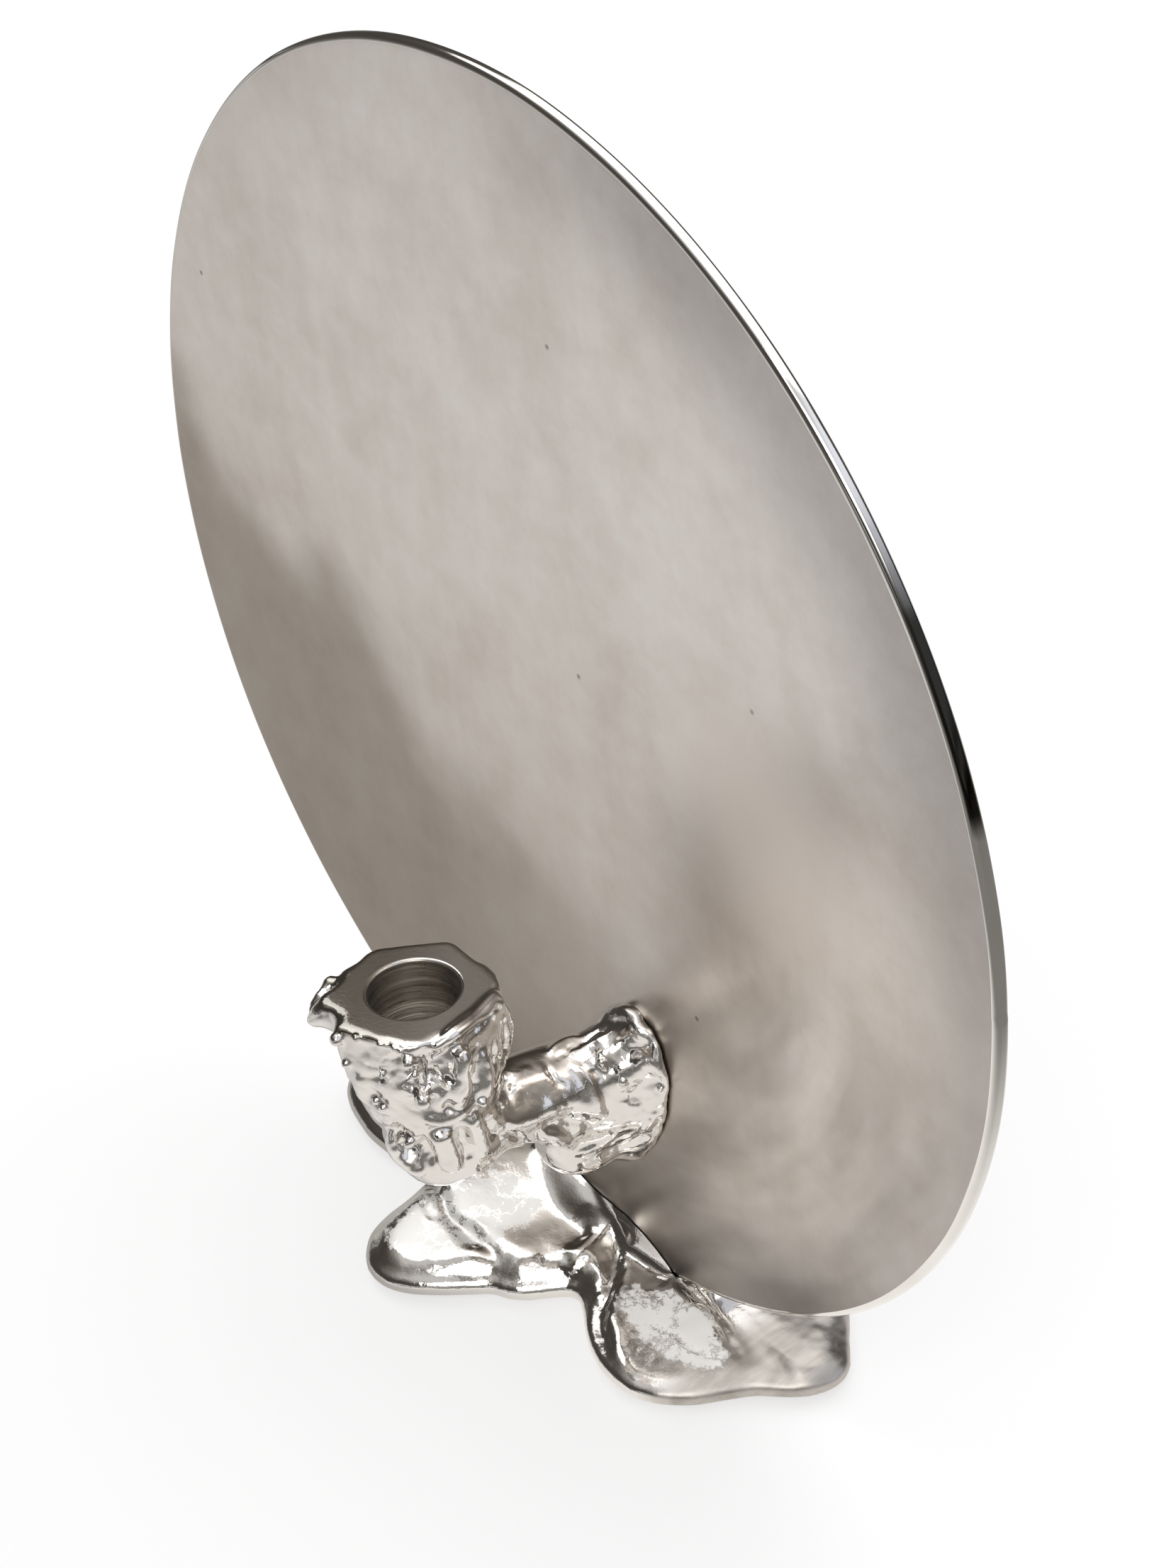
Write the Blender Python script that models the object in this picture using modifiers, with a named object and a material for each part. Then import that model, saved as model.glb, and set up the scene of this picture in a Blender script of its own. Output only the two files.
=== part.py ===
"""Drip candle holder: a round metal disc that stands in a cast puddle of metal, with a cast arm
and a candle cup in front of it. Metres, +Z up. The disc's middle plane is Y = 0 and its centre
line is X = 0, the front is -Y, and Z = 0 is the surface that the felt pads rest on."""

import math
from collections import namedtuple

import bmesh
import bpy
from mathutils import Matrix, Vector

# Clearances
FIT_GAP = 0.0003          # between two pieces that touch, or a screw and its hole
MERGE = 0.00005

# Felt pads under the base
PAD_RADIUS = 0.009
PAD_THICKNESS = 0.0015

# Reflector disc
DISC_RADIUS = 0.160
DISC_THICKNESS = 0.0040
DISC_EDGE_ROUND = 0.0008
DISC_SEGMENTS = 128

# Base casting: a puddle of lobes, a slot for the disc and a spine up its back
SLOT_WEB = 0.0055         # metal left under the slot
LIP_RISE = 0.0090         # front lip over the disc's lowest point, at the centre line
LIP_SLOPE = math.radians(5.5)   # the lip falls towards +X
RIM_CENTRE = 0.0030       # height of the rounded rim's widest line above the underside
LOBE_SQUARENESS = 2.8     # over 2 flattens a lobe's top and steepens its rim
BASE_VOXEL = 0.0038

# Candle cup
CUP_X = 0.0188
CUP_REACH = 0.0535        # cup's axis in front of the disc's front face
CUP_TOP = 0.1140          # flat top above the disc's lowest point
CUP_CORNER_RADIUS = 0.0207
CUP_CORNERS = 6
CUP_CORNER_TURN = math.radians(-92)
CUP_CORNER_LOW = 0.0193   # the same corner at the lower end of the faceted part
CUP_RIM_DEPTH = 0.0180    # faceted part below the flat top
CUP_BODY = (              # place behind the axis, drop below the top, half width, half height
    (0.0010, 0.0220, 0.0180, 0.0200),
    (0.0030, 0.0400, 0.0148, 0.0185),
)
DRIP_TURN = math.radians(-123.5)
DRIPS = (                 # reach from the axis, drop below the top, half size
    (0.0200, 0.0035, 0.0043),
    (0.0228, 0.0050, 0.0035),
    (0.0248, 0.0066, 0.0026),
)
BORE_RADIUS = 0.0110
BORE_DEPTH = 0.0240
BORE_LIP = 0.0006         # chamfer round the mouth

# Arm between the cup and the disc
ARM_RADIUS = 0.0108
ARM_START_BACK = 0.0040   # the arm's first slice behind the cup's axis
ARM_START_DROP = 0.0440   # and below the cup's top
ARM_ARCH = 0.0030         # how far the arm bows up in the middle
ARM_SPREAD = 3.4          # the higher, the later the arm widens
ARM_SLICES = 10
BELLY_PLACE = (-0.0040, -0.0110, -0.0110)     # from the flare's centre
BELLY_SIZE = (0.0110, 0.0130, 0.0130)
FLARE_X = 0.0225
FLARE_Z = 0.0580          # flare's centre above the disc's lowest point
FLARE_HALF_LONG = 0.0318
FLARE_HALF_WIDE = 0.0175
FLARE_PROUD = 0.0060
FLARE_TILT = math.radians(27)
FLARE_SHARE = 0.85        # size of the arm's last slice against the flare
ARM_VOXEL = 0.0027

# Two cap screws, from behind, through the spine and the disc into the flare
SCREW_SIDES = 24
SCREW_RADIUS = 0.0025
SCREW_GRIP = 0.0100       # thread inside the arm
SCREW_HEAD_RADIUS = 0.00425
SCREW_HEAD_HEIGHT = 0.0050
SCREW_KEY_RADIUS = 0.0023
SCREW_KEY_DEPTH = 0.0028
SCREW_SPACING = 0.0210
WASHER_RADIUS = 0.0052
WASHER_THICKNESS = 0.0010
SPINE_WALL = 0.0060       # spine's metal under the washer

# Heights and planes that follow from the sizes above
UNDERSIDE = PAD_THICKNESS + FIT_GAP
SLOT_FLOOR = UNDERSIDE + SLOT_WEB
DISC_LOW = SLOT_FLOOR + FIT_GAP
DISC_CENTRE_Z = DISC_LOW + DISC_RADIUS
DISC_FRONT = -DISC_THICKNESS / 2
DISC_BACK = DISC_THICKNESS / 2
CUP_Y = DISC_FRONT - CUP_REACH
CUP_TOP_Z = DISC_LOW + CUP_TOP
FLARE_CENTRE = Vector((FLARE_X, DISC_FRONT, DISC_LOW + FLARE_Z))
SEAT_Y = DISC_BACK + FIT_GAP + SPINE_WALL

# A lobe of the puddle: its middle, its half length and half width, its height over the
# underside, and the angle of its length from +X
Lobe = namedtuple("Lobe", "x y half_long half_wide high turn")
LOBES = {
    "tongue": Lobe(-0.0245, -0.0340, 0.0245, 0.0130, 0.0120, -72),
    "tongue_heel": Lobe(-0.0130, -0.0150, 0.0220, 0.0150, 0.0165, -60),
    "tongue_cheek": Lobe(-0.0060, -0.0330, 0.0130, 0.0110, 0.0090, -60),
    "throat": Lobe(0.0110, -0.0140, 0.0190, 0.0130, 0.0100, -30),
    "lip": Lobe(0.0060, -0.0030, 0.0330, 0.0120, 0.0165, -6),
    "front": Lobe(0.0480, -0.0195, 0.0260, 0.0165, 0.0130, -36),
    "right": Lobe(0.0460, 0.0110, 0.0350, 0.0240, 0.0095, 8),
    "right_toe": Lobe(0.0680, 0.0080, 0.0215, 0.0155, 0.0095, -30),
    "left": Lobe(-0.0610, -0.0010, 0.0365, 0.0243, 0.0105, 10),
    "left_neck": Lobe(-0.0250, 0.0000, 0.0280, 0.0150, 0.0115, 0),
    "rear": Lobe(0.0180, 0.0380, 0.0330, 0.0230, 0.0120, 82),
    "rear_left": Lobe(-0.0300, 0.0310, 0.0290, 0.0170, 0.0100, 130),
}
# A swelling of the spine behind the disc: its middle and its three half sizes
Swelling = namedtuple("Swelling", "x y z half_x half_y half_z")
SPINE = {
    "root": Swelling(0.0180, 0.0100, 0.0160, 0.0270, 0.0200, 0.0170),
    "waist": Swelling(0.0215, 0.0060, 0.0380, 0.0170, 0.0120, 0.0260),
    "head": Swelling(0.0230, 0.0050, 0.0700, 0.0165, 0.0115, 0.0230),
}
PADS = {
    "center": (0.0, 0.0),
    "tongue": (-0.0200, -0.0380),
    "front": (0.0510, -0.0200),
    "right": (0.0640, 0.0140),
    "left": (-0.0700, -0.0020),
    "rear": (0.0200, 0.0520),
}


def clear_scene():
    for old in list(bpy.data.objects):
        bpy.data.objects.remove(old, do_unlink=True)


def new_collection(name):
    made = bpy.data.collections.new(name)
    bpy.context.scene.collection.children.link(made)
    return made


def new_material(name, colour, roughness, metallic):
    made = bpy.data.materials.new(name)
    made.use_nodes = True
    shader = made.node_tree.nodes["Principled BSDF"]
    shader.inputs["Base Color"].default_value = (*colour, 1.0)
    shader.inputs["Roughness"].default_value = roughness
    shader.inputs["Metallic"].default_value = metallic
    made.diffuse_color = (*colour, 1.0)
    return made


clear_scene()
HOLDER = new_collection("drip_candle_holder")
CUTTERS = new_collection("cutters")


def add_object(name, mesh, collection, location=(0, 0, 0), rotation=(0, 0, 0)):
    made = bpy.data.objects.new(name, mesh)
    made.location = location
    made.rotation_euler = rotation
    collection.objects.link(made)
    return made


def shade_round(mesh, angle=35):
    mesh.shade_smooth()
    mesh.set_sharp_from_angle(angle=math.radians(angle))


def cylinder_mesh(name, radius, length, segments=32):
    """A cylinder about Z, with its middle at the origin."""
    mesh = bpy.data.meshes.new(name)
    bm = bmesh.new()
    bmesh.ops.create_cone(
        bm, cap_ends=True, segments=segments, radius1=radius, radius2=radius, depth=length)
    bm.to_mesh(mesh)
    bm.free()
    return mesh


def box_mesh(name, size):
    mesh = bpy.data.meshes.new(name)
    bm = bmesh.new()
    bmesh.ops.create_cube(bm, size=1.0)
    bmesh.ops.scale(bm, vec=size, verts=bm.verts)
    bm.to_mesh(mesh)
    bm.free()
    return mesh


def dome(bm, centre, half, turn=0.0, tilt=0.0, squareness=2.0):
    """Add a rounded blob to bm, with its three half sizes."""
    made = bmesh.ops.create_uvsphere(bm, u_segments=32, v_segments=20, radius=1.0)["verts"]
    place = (Matrix.Translation(centre) @ Matrix.Rotation(turn, 4, "Z")
             @ Matrix.Rotation(tilt, 4, "Y"))
    for vert in made:
        level = max(-1.0, min(1.0, vert.co.z))
        flat_radius = math.hypot(vert.co.x, vert.co.y)
        if squareness != 2.0 and flat_radius > 1e-6:
            fuller = (1 - level ** 2) ** (1 / squareness)
            vert.co.x *= fuller / flat_radius
            vert.co.y *= fuller / flat_radius
        vert.co = place @ Vector((vert.co.x * half[0], vert.co.y * half[1], vert.co.z * half[2]))


def turned(name, profile, collection, sides, location=(0, 0, 0), rotation=(0, 0, 0), ring=False):
    """A profile of (radius, height) points, from the top down its outer side, turned about Z.
    A ring's profile goes round and closes on its first point."""
    mesh = bpy.data.meshes.new(name)
    bm = bmesh.new()
    points = [bm.verts.new((radius, 0, height)) for radius, height in profile]
    for first, second in zip(points, points[1:]):
        bm.edges.new((first, second))
    if ring:
        bm.edges.new((points[-1], points[0]))
    bm.to_mesh(mesh)
    bm.free()
    made = add_object(name, mesh, collection, location, rotation)
    lathe = made.modifiers.new("lathe", "SCREW")
    lathe.steps = sides
    lathe.render_steps = sides
    lathe.use_merge_vertices = True
    lathe.merge_threshold = MERGE
    lathe.use_smooth_shade = False
    return made


def mark_cutter(tool):
    tool.hide_render = True
    tool.display_type = "WIRE"


def cutter(name, mesh, location=(0, 0, 0), rotation=(0, 0, 0)):
    made = add_object(name, mesh, CUTTERS, location, rotation)
    mark_cutter(made)
    return made


def cut(piece, tool):
    modifier = piece.modifiers.new("cut_" + tool.name, "BOOLEAN")
    modifier.operation = "DIFFERENCE"
    modifier.solver = "EXACT"
    modifier.object = tool


def fuse_blobs(piece, voxel, rounds):
    """Melt the blobs of one mesh into a single skin."""
    melt = piece.modifiers.new("melt", "REMESH")
    melt.mode = "VOXEL"
    melt.voxel_size = voxel
    melt.use_smooth_shade = True
    flow = piece.modifiers.new("flow", "SMOOTH")
    flow.factor = 0.5
    flow.iterations = rounds


def screw_places():
    """X and Z of the two screws, the upper one first."""
    half = SCREW_SPACING / 2
    return {
        "upper": (FLARE_CENTRE.x, FLARE_CENTRE.z + half),
        "lower": (FLARE_CENTRE.x, FLARE_CENTRE.z - half),
    }


ALONG_Y = (math.radians(90), 0, 0)
TOWARDS_BACK = (math.radians(-90), 0, 0)    # +Z turned to +Y


def make_disc(material):
    disc = add_object(
        "reflector_disc",
        cylinder_mesh("reflector_disc", DISC_RADIUS, DISC_THICKNESS, DISC_SEGMENTS),
        HOLDER, (0, 0, DISC_CENTRE_Z), ALONG_Y)
    rounding = disc.modifiers.new("edge", "BEVEL")
    rounding.width = DISC_EDGE_ROUND
    rounding.segments = 1
    rounding.limit_method = "ANGLE"
    for place, (x, z) in screw_places().items():
        hole = cylinder_mesh("disc_hole_" + place, SCREW_RADIUS + FIT_GAP, 4 * DISC_THICKNESS, 24)
        cut(disc, cutter("disc_hole_" + place, hole, (x, 0, z), ALONG_Y))
    disc.data.materials.append(material)
    shade_round(disc.data)
    return disc


def slot_cutter():
    """The room that the disc's lower edge takes in the base."""
    mesh = cylinder_mesh(
        "disc_slot", DISC_RADIUS + FIT_GAP, DISC_THICKNESS + 2 * FIT_GAP, DISC_SEGMENTS)
    return cutter("disc_slot", mesh, (0, 0, DISC_CENTRE_Z), ALONG_Y)


def seat_mesh(name):
    """A round spot face for a washer, open towards the back."""
    return cylinder_mesh(name, WASHER_RADIUS + 2 * FIT_GAP, 0.05, 32)


def make_base(material):
    mesh = bpy.data.meshes.new("base_casting")
    bm = bmesh.new()
    middle = UNDERSIDE + RIM_CENTRE
    for lobe in LOBES.values():
        dome(bm, (lobe.x, lobe.y, middle),
             (lobe.half_long, lobe.half_wide, lobe.high - RIM_CENTRE),
             turn=math.radians(lobe.turn), squareness=LOBE_SQUARENESS)
    for part in SPINE.values():
        dome(bm, (part.x, part.y, DISC_LOW + part.z), (part.half_x, part.half_y, part.half_z))
    bm.to_mesh(mesh)
    bm.free()
    base = add_object("base_casting", mesh, HOLDER)
    fuse_blobs(base, BASE_VOXEL, 4)
    floor = cutter("base_underside", box_mesh("base_underside", (0.4, 0.4, 0.1)),
                   (0, 0, UNDERSIDE - 0.05))
    cut(base, floor)
    cut(base, slot_cutter())
    # The front of the casting ends at the lip: above it the disc's face is bare. The cut stops
    # inside the slot, so the spine behind the disc stays
    reach = Vector((0.4, 0.1, 0.2))
    clear = Vector((0, -reach.y / 2, DISC_LOW + LIP_RISE))
    clear += Matrix.Rotation(LIP_SLOPE, 3, "Y") @ Vector((0, 0, reach.z / 2))
    above = cutter("above_lip", box_mesh("above_lip", reach), clear, (0, LIP_SLOPE, 0))
    cut(base, above)
    for place, (x, z) in screw_places().items():
        hole = cylinder_mesh("spine_hole_" + place, SCREW_RADIUS + FIT_GAP, 0.04, 24)
        cut(base, cutter("spine_hole_" + place, hole, (x, 0.01, z), ALONG_Y))
        seat = cutter("spine_seat_" + place, seat_mesh("spine_seat_" + place),
                      (x, SEAT_Y + 0.025, z), ALONG_Y)
        cut(base, seat)
    base.data.materials.append(material)
    return base


def make_arm(material):
    mesh = bpy.data.meshes.new("candle_arm")
    bm = bmesh.new()
    top = CUP_TOP_Z
    # Cup: a six-sided rim that tapers and melts into a rounded foot
    spare = ARM_VOXEL + 0.0013      # over the flat top, cut off after the melting
    rim = bmesh.ops.create_cone(
        bm, cap_ends=True, segments=CUP_CORNERS, radius1=CUP_CORNER_LOW,
        radius2=CUP_CORNER_RADIUS, depth=CUP_RIM_DEPTH + spare)["verts"]
    turn = Matrix.Rotation(CUP_CORNER_TURN, 4, "Z")
    lift = Matrix.Translation((CUP_X, CUP_Y, top + (spare - CUP_RIM_DEPTH) / 2))
    bmesh.ops.transform(bm, matrix=lift @ turn, verts=rim)
    for back, drop, half_wide, half_high in CUP_BODY:
        dome(bm, (CUP_X, CUP_Y + back, top - drop), (half_wide, half_wide, half_high))
    # A spiky drip that hangs out from the rim
    for reach, drop, size in DRIPS:
        dome(bm, (CUP_X + math.cos(DRIP_TURN) * reach, CUP_Y + math.sin(DRIP_TURN) * reach,
                  top - drop), (size, size, size))
    # Arm: slices that start round at the cup's foot and grow into the tilted oval flare
    start = Vector((CUP_X, CUP_Y + ARM_START_BACK, top - ARM_START_DROP))
    for step in range(ARM_SLICES + 1):
        share = step / ARM_SLICES
        centre = start.lerp(FLARE_CENTRE, share)
        centre.z += ARM_ARCH * math.sin(math.pi * share)
        spread = share ** ARM_SPREAD
        wide = ARM_RADIUS + (FLARE_SHARE * FLARE_HALF_WIDE - ARM_RADIUS) * spread
        tall = ARM_RADIUS + (FLARE_SHARE * FLARE_HALF_LONG - ARM_RADIUS) * spread
        dome(bm, centre, (wide, ARM_RADIUS, tall), tilt=FLARE_TILT * share)
    dome(bm, FLARE_CENTRE + Vector(BELLY_PLACE), BELLY_SIZE, tilt=FLARE_TILT)
    dome(bm, FLARE_CENTRE, (FLARE_HALF_WIDE, FLARE_PROUD, FLARE_HALF_LONG), tilt=FLARE_TILT)
    bm.to_mesh(mesh)
    bm.free()
    arm = add_object("candle_arm", mesh, HOLDER)
    fuse_blobs(arm, ARM_VOXEL, 3)
    cut(arm, cutter("above_cup", box_mesh("above_cup", (0.1, 0.1, 0.04)),
                    (CUP_X, CUP_Y, top + 0.02)))
    cut(arm, cutter("behind_flare", box_mesh("behind_flare", (0.2, 0.1, 0.3)),
                    (FLARE_X, DISC_FRONT - FIT_GAP + 0.05, FLARE_CENTRE.z)))
    mouth = BORE_RADIUS + BORE_LIP
    bore = turned("candle_bore", [
        (0, BORE_LIP), (mouth + BORE_LIP, BORE_LIP), (BORE_RADIUS, -BORE_LIP),
        (BORE_RADIUS, -BORE_DEPTH), (0, -BORE_DEPTH)], CUTTERS, 48, (CUP_X, CUP_Y, top))
    mark_cutter(bore)
    cut(arm, bore)
    for place, (x, z) in screw_places().items():
        depth = SCREW_GRIP + 0.001
        hole = cylinder_mesh("arm_hole_" + place, SCREW_RADIUS + FIT_GAP, depth * 2, 24)
        cut(arm, cutter("arm_hole_" + place, hole, (x, DISC_FRONT, z), ALONG_Y))
    arm.data.materials.append(material)
    return arm


def make_screw(name, x, z, material):
    """A cap screw along Y, with its head at the back, over the washer."""
    head_low = SEAT_Y + WASHER_THICKNESS + 2 * FIT_GAP
    head_top = head_low + SCREW_HEAD_HEIGHT
    tip = DISC_FRONT - SCREW_GRIP
    chamfer = SCREW_HEAD_RADIUS - SCREW_KEY_RADIUS * 1.55
    profile = [
        (0, head_top), (SCREW_HEAD_RADIUS - chamfer, head_top),
        (SCREW_HEAD_RADIUS, head_top - chamfer), (SCREW_HEAD_RADIUS, head_low),
        (SCREW_RADIUS, head_low), (SCREW_RADIUS, tip + chamfer),
        (SCREW_RADIUS - chamfer, tip), (0, tip),
    ]
    screw = turned(name, profile, HOLDER, SCREW_SIDES, (x, 0, z), TOWARDS_BACK)
    key = cylinder_mesh(name + "_key", SCREW_KEY_RADIUS, 2 * SCREW_KEY_DEPTH, 6)
    cut(screw, cutter(name + "_key", key, (x, head_top, z), TOWARDS_BACK))
    screw.data.materials.append(material)
    return screw


def make_washer(name, x, z, material):
    """A flat washer between the screw's head and the spine's spot face."""
    low = SEAT_Y + FIT_GAP
    hole = SCREW_RADIUS + FIT_GAP
    profile = [
        (hole, low + WASHER_THICKNESS), (WASHER_RADIUS, low + WASHER_THICKNESS),
        (WASHER_RADIUS, low), (hole, low),
    ]
    washer = turned(
        name, profile, HOLDER, SCREW_SIDES, (x, 0, z), TOWARDS_BACK, ring=True)
    washer.data.materials.append(material)
    return washer


def main():
    satin = new_material("satin_nickel", (0.62, 0.60, 0.57), 0.32, 1.0)
    polished = new_material("polished_nickel", (0.80, 0.78, 0.74), 0.10, 1.0)
    steel = new_material("screw_steel", (0.55, 0.55, 0.56), 0.30, 1.0)
    felt = new_material("black_felt", (0.03, 0.03, 0.03), 0.95, 0.0)
    make_disc(satin)
    make_base(polished)
    make_arm(polished)
    for place, (x, z) in screw_places().items():
        make_screw("arm_screw_" + place, x, z, steel)
        make_washer("arm_washer_" + place, x, z, steel)
    for place, (x, y) in PADS.items():
        mesh = cylinder_mesh("felt_pad_" + place, PAD_RADIUS, PAD_THICKNESS, 32)
        pad = add_object("felt_pad_" + place, mesh, HOLDER, (x, y, PAD_THICKNESS / 2))
        pad.data.materials.append(felt)
        shade_round(pad.data)


main()
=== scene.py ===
import math

import bmesh
import bpy
import numpy as np
from mathutils import Matrix, Vector
from mathutils.bvhtree import BVHTree


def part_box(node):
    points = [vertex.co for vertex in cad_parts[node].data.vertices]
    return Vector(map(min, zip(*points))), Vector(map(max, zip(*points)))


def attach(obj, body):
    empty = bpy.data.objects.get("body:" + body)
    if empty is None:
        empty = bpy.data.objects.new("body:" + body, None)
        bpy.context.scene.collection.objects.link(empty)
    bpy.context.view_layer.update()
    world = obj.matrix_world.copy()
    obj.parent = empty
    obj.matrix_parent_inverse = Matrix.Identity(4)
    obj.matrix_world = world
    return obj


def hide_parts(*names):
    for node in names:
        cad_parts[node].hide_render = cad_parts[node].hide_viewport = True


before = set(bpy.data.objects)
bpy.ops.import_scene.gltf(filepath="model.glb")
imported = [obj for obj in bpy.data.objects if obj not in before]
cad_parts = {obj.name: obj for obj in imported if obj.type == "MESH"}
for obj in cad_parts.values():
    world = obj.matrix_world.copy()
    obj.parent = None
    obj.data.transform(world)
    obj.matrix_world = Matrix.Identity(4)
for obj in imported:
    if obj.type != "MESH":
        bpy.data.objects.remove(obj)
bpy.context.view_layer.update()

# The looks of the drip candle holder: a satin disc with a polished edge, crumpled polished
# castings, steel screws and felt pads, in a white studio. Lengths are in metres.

MM = 0.001


def node_box(name):
    """Low corner, high corner and middle of a CAD node."""
    low, high = (Vector(c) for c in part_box(name))
    return low, high, (low + high) / 2


# Sizes that the solids have, measured from the frame
disc_low, disc_high, DISC_CENTRE = node_box("reflector_disc")
BASE_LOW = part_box("base_casting")[0][2]
CUP_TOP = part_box("candle_arm")[1][2]
SEATS = {side: node_box("arm_washer_" + side) for side in ("upper", "lower")}
PADS = ("center", "tongue", "front", "right", "left", "rear")
DISC_RADIUS = (disc_high.x - disc_low.x) / 2
DISC_HALF = (disc_high.y - disc_low.y) / 2
CUP_AXIS = Vector((18.8 * MM, -55.5 * MM, 0))
BORE_RADIUS = 11.0 * MM
BORE_DEPTH = 24.0 * MM
SCREW_HOLE = 2.8 * MM

# The camera that the photograph was taken with, in its frame of 1659 x 2212 pixels
PHOTO_WIDTH, PHOTO_HEIGHT = 1659, 2212
FOCAL_PIXELS = 5150
CAMERA_PLACE = Vector((0.59738, -0.38781, 0.63972))
AZIMUTH, ELEVATION, ROLL = (math.radians(a) for a in (56.3, 34.95, -5.39))
# Where on a ray the place nearest to a surface is looked for
SEARCH = [0.60 + 0.002 * k for k in range(200)]


def camera_axes():
    forward = Vector((-math.sin(AZIMUTH) * math.cos(ELEVATION),
                      math.cos(AZIMUTH) * math.cos(ELEVATION), -math.sin(ELEVATION)))
    level_right = Vector((math.cos(AZIMUTH), math.sin(AZIMUTH), 0))
    level_up = level_right.cross(forward)
    right = math.cos(ROLL) * level_right + math.sin(ROLL) * level_up
    return right, right.cross(forward), forward


def pixel_ray(pixel):
    """The direction in which the camera sees a pixel of the photograph."""
    right, up, forward = camera_axes()
    x, y = pixel
    return (forward + right * ((x - PHOTO_WIDTH / 2) / FOCAL_PIXELS)
            - up * ((y - PHOTO_HEIGHT / 2) / FOCAL_PIXELS))


def on_level(pixel, z):
    """The point at height z that a pixel of the photograph shows."""
    ray = pixel_ray(pixel)
    return CAMERA_PLACE + ray * ((z - CAMERA_PLACE.z) / ray.z)


def surface_finder(mesh):
    """A function that gives the point and normal of mesh behind a pixel of the photograph."""
    bm = bmesh.new()
    bm.from_mesh(mesh)
    tree = BVHTree.FromBMesh(bm)
    bm.free()

    def find(pixel):
        ray = pixel_ray(pixel).normalized()
        place, normal, _, _ = tree.ray_cast(CAMERA_PLACE, ray)
        if place is None:
            # Beside the outline: the place on the ray that is nearest to the surface
            place = min((CAMERA_PLACE + ray * far for far in SEARCH), key=lambda t: tree.find_nearest(t)[3])
            normal = (place - tree.find_nearest(place)[0]).normalized()
        return np.array(place), np.array(normal)

    return find


# Noise

HASH_STEPS = (374761393, 668265263, 2147483647)
HASH_SEED = 1274126177
HASH_STRIDE = 97
SEED_SHIFT = 17.31
NOISE_GAIN = 1.5


def lattice(cells, seed):
    """A repeatable vector of -1 to 1 for each point of a whole-number lattice."""
    mixed = ((cells.astype(np.int64) * HASH_STEPS).sum(axis=1) + seed * HASH_SEED) & 0xFFFFFFFF
    parts = []
    for step in range(3):
        mixed = ((mixed ^ (mixed >> 13)) * HASH_SEED + step * HASH_STRIDE) & 0xFFFFFFFF
        mixed = mixed ^ (mixed >> 16)
        parts.append((mixed & 0xFFFF) / 32767.5 - 1.0)
    return np.stack(parts, axis=-1)


def noise(points, size, seed=0):
    """Smooth noise of about -1 to 1, with lumps of the given size."""
    scaled = points / size + seed * SEED_SHIFT
    cell = np.floor(scaled)
    inside = scaled - cell
    fade = inside ** 3 * (inside * (inside * 6 - 15) + 10)
    total = np.zeros(len(points))
    for corner in np.ndindex(2, 2, 2):
        weight = np.prod(np.where(np.array(corner) == 1, fade, 1 - fade), axis=1)
        total += weight * np.sum(lattice(cell + corner, seed) * (inside - corner), axis=1)
    return total * NOISE_GAIN


def rough(points, size, octaves, seed=0, gain=0.5, folded=False):
    """Layers of ever finer noise. Folded, sharp valleys at 0 lie between rounded swellings."""
    total = np.zeros(len(points))
    for octave in range(octaves):
        layer = noise(points, size / 2 ** octave, seed + octave)
        total += gain ** octave * (np.abs(layer) if folded else layer)
    return total


def creased(points, size, octaves, seed=0, gain=0.55):
    return rough(points, size, octaves, seed, gain, folded=True)


def warped(points, reach, size, seed):
    """The points moved a little by noise, which gives strokes an uneven edge."""
    return points + reach * np.stack([noise(points, size, seed + k) for k in range(3)], axis=1)


def smoothstep(low, high, value):
    share = np.clip((value - low) / (high - low), 0, 1)
    return share * share * (3 - 2 * share)


# Smooth lines

BETWEEN_KNOTS = np.linspace(0, 1, 8, endpoint=False)[:, None]


def smooth_line(knots):
    """Points along a smooth line through the knots, from the second to the last but one."""
    t = BETWEEN_KNOTS
    return np.vstack([0.5 * (2 * b + (c - a) * t + (2 * a - 5 * b + 4 * c - d) * t ** 2
                             + (3 * b - a - 3 * c + d) * t ** 3)
                      for a, b, c, d in zip(knots, knots[1:], knots[2:], knots[3:])])


def closed_line(knots):
    knots = np.array(knots, dtype=float)
    return smooth_line(np.vstack([knots[-1:], knots, knots[:2]]))


def threaded(knots, step=0.4 * MM):
    """Points every step along a smooth line through the knots."""
    knots = np.array(knots)
    if len(knots) > 2:
        padded = np.vstack([2 * knots[0] - knots[1], knots, 2 * knots[-1] - knots[-2]])
        knots = np.vstack([smooth_line(padded), knots[-1:]])
    length = np.concatenate([[0], np.cumsum(np.linalg.norm(np.diff(knots, axis=0), axis=1))])
    where = np.linspace(0, length[-1], max(3, int(length[-1] / step)))
    return np.stack([np.interp(where, length, knots[:, k]) for k in range(3)], axis=1)


# Mesh helpers

FOLD_STEP = 0.3         # between a fold's blobs, in radii
FOLD_TAPER = 0.35       # how much thinner a fold's ends are
STROKE_REACH = 3.2      # widths from its line, beyond which a stroke raises nothing
KNURL_DEPTH = 0.022     # as a share of the radius
SHARP_ANGLE = 50        # degrees, from which a carved edge is shaded sharp


def link(obj):
    bpy.context.scene.collection.objects.link(obj)
    return obj


def mesh_from(bm, name):
    mesh = bpy.data.meshes.new(name)
    bm.to_mesh(mesh)
    bm.free()
    return mesh


def welded(mesh, name, apart):
    """A copy of a mesh with the corners joined that are closer than apart."""
    bm = bmesh.new()
    bm.from_mesh(mesh)
    bmesh.ops.remove_doubles(bm, verts=bm.verts, dist=apart)
    return mesh_from(bm, name)


def cad_mesh(node):
    """A copy of a CAD node's mesh, with its split corners joined again."""
    return welded(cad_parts[node].data, node + "_start", 0.001 * MM)


def evaluated(obj):
    return bpy.data.meshes.new_from_object(obj.evaluated_get(bpy.context.evaluated_depsgraph_get()))


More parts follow.
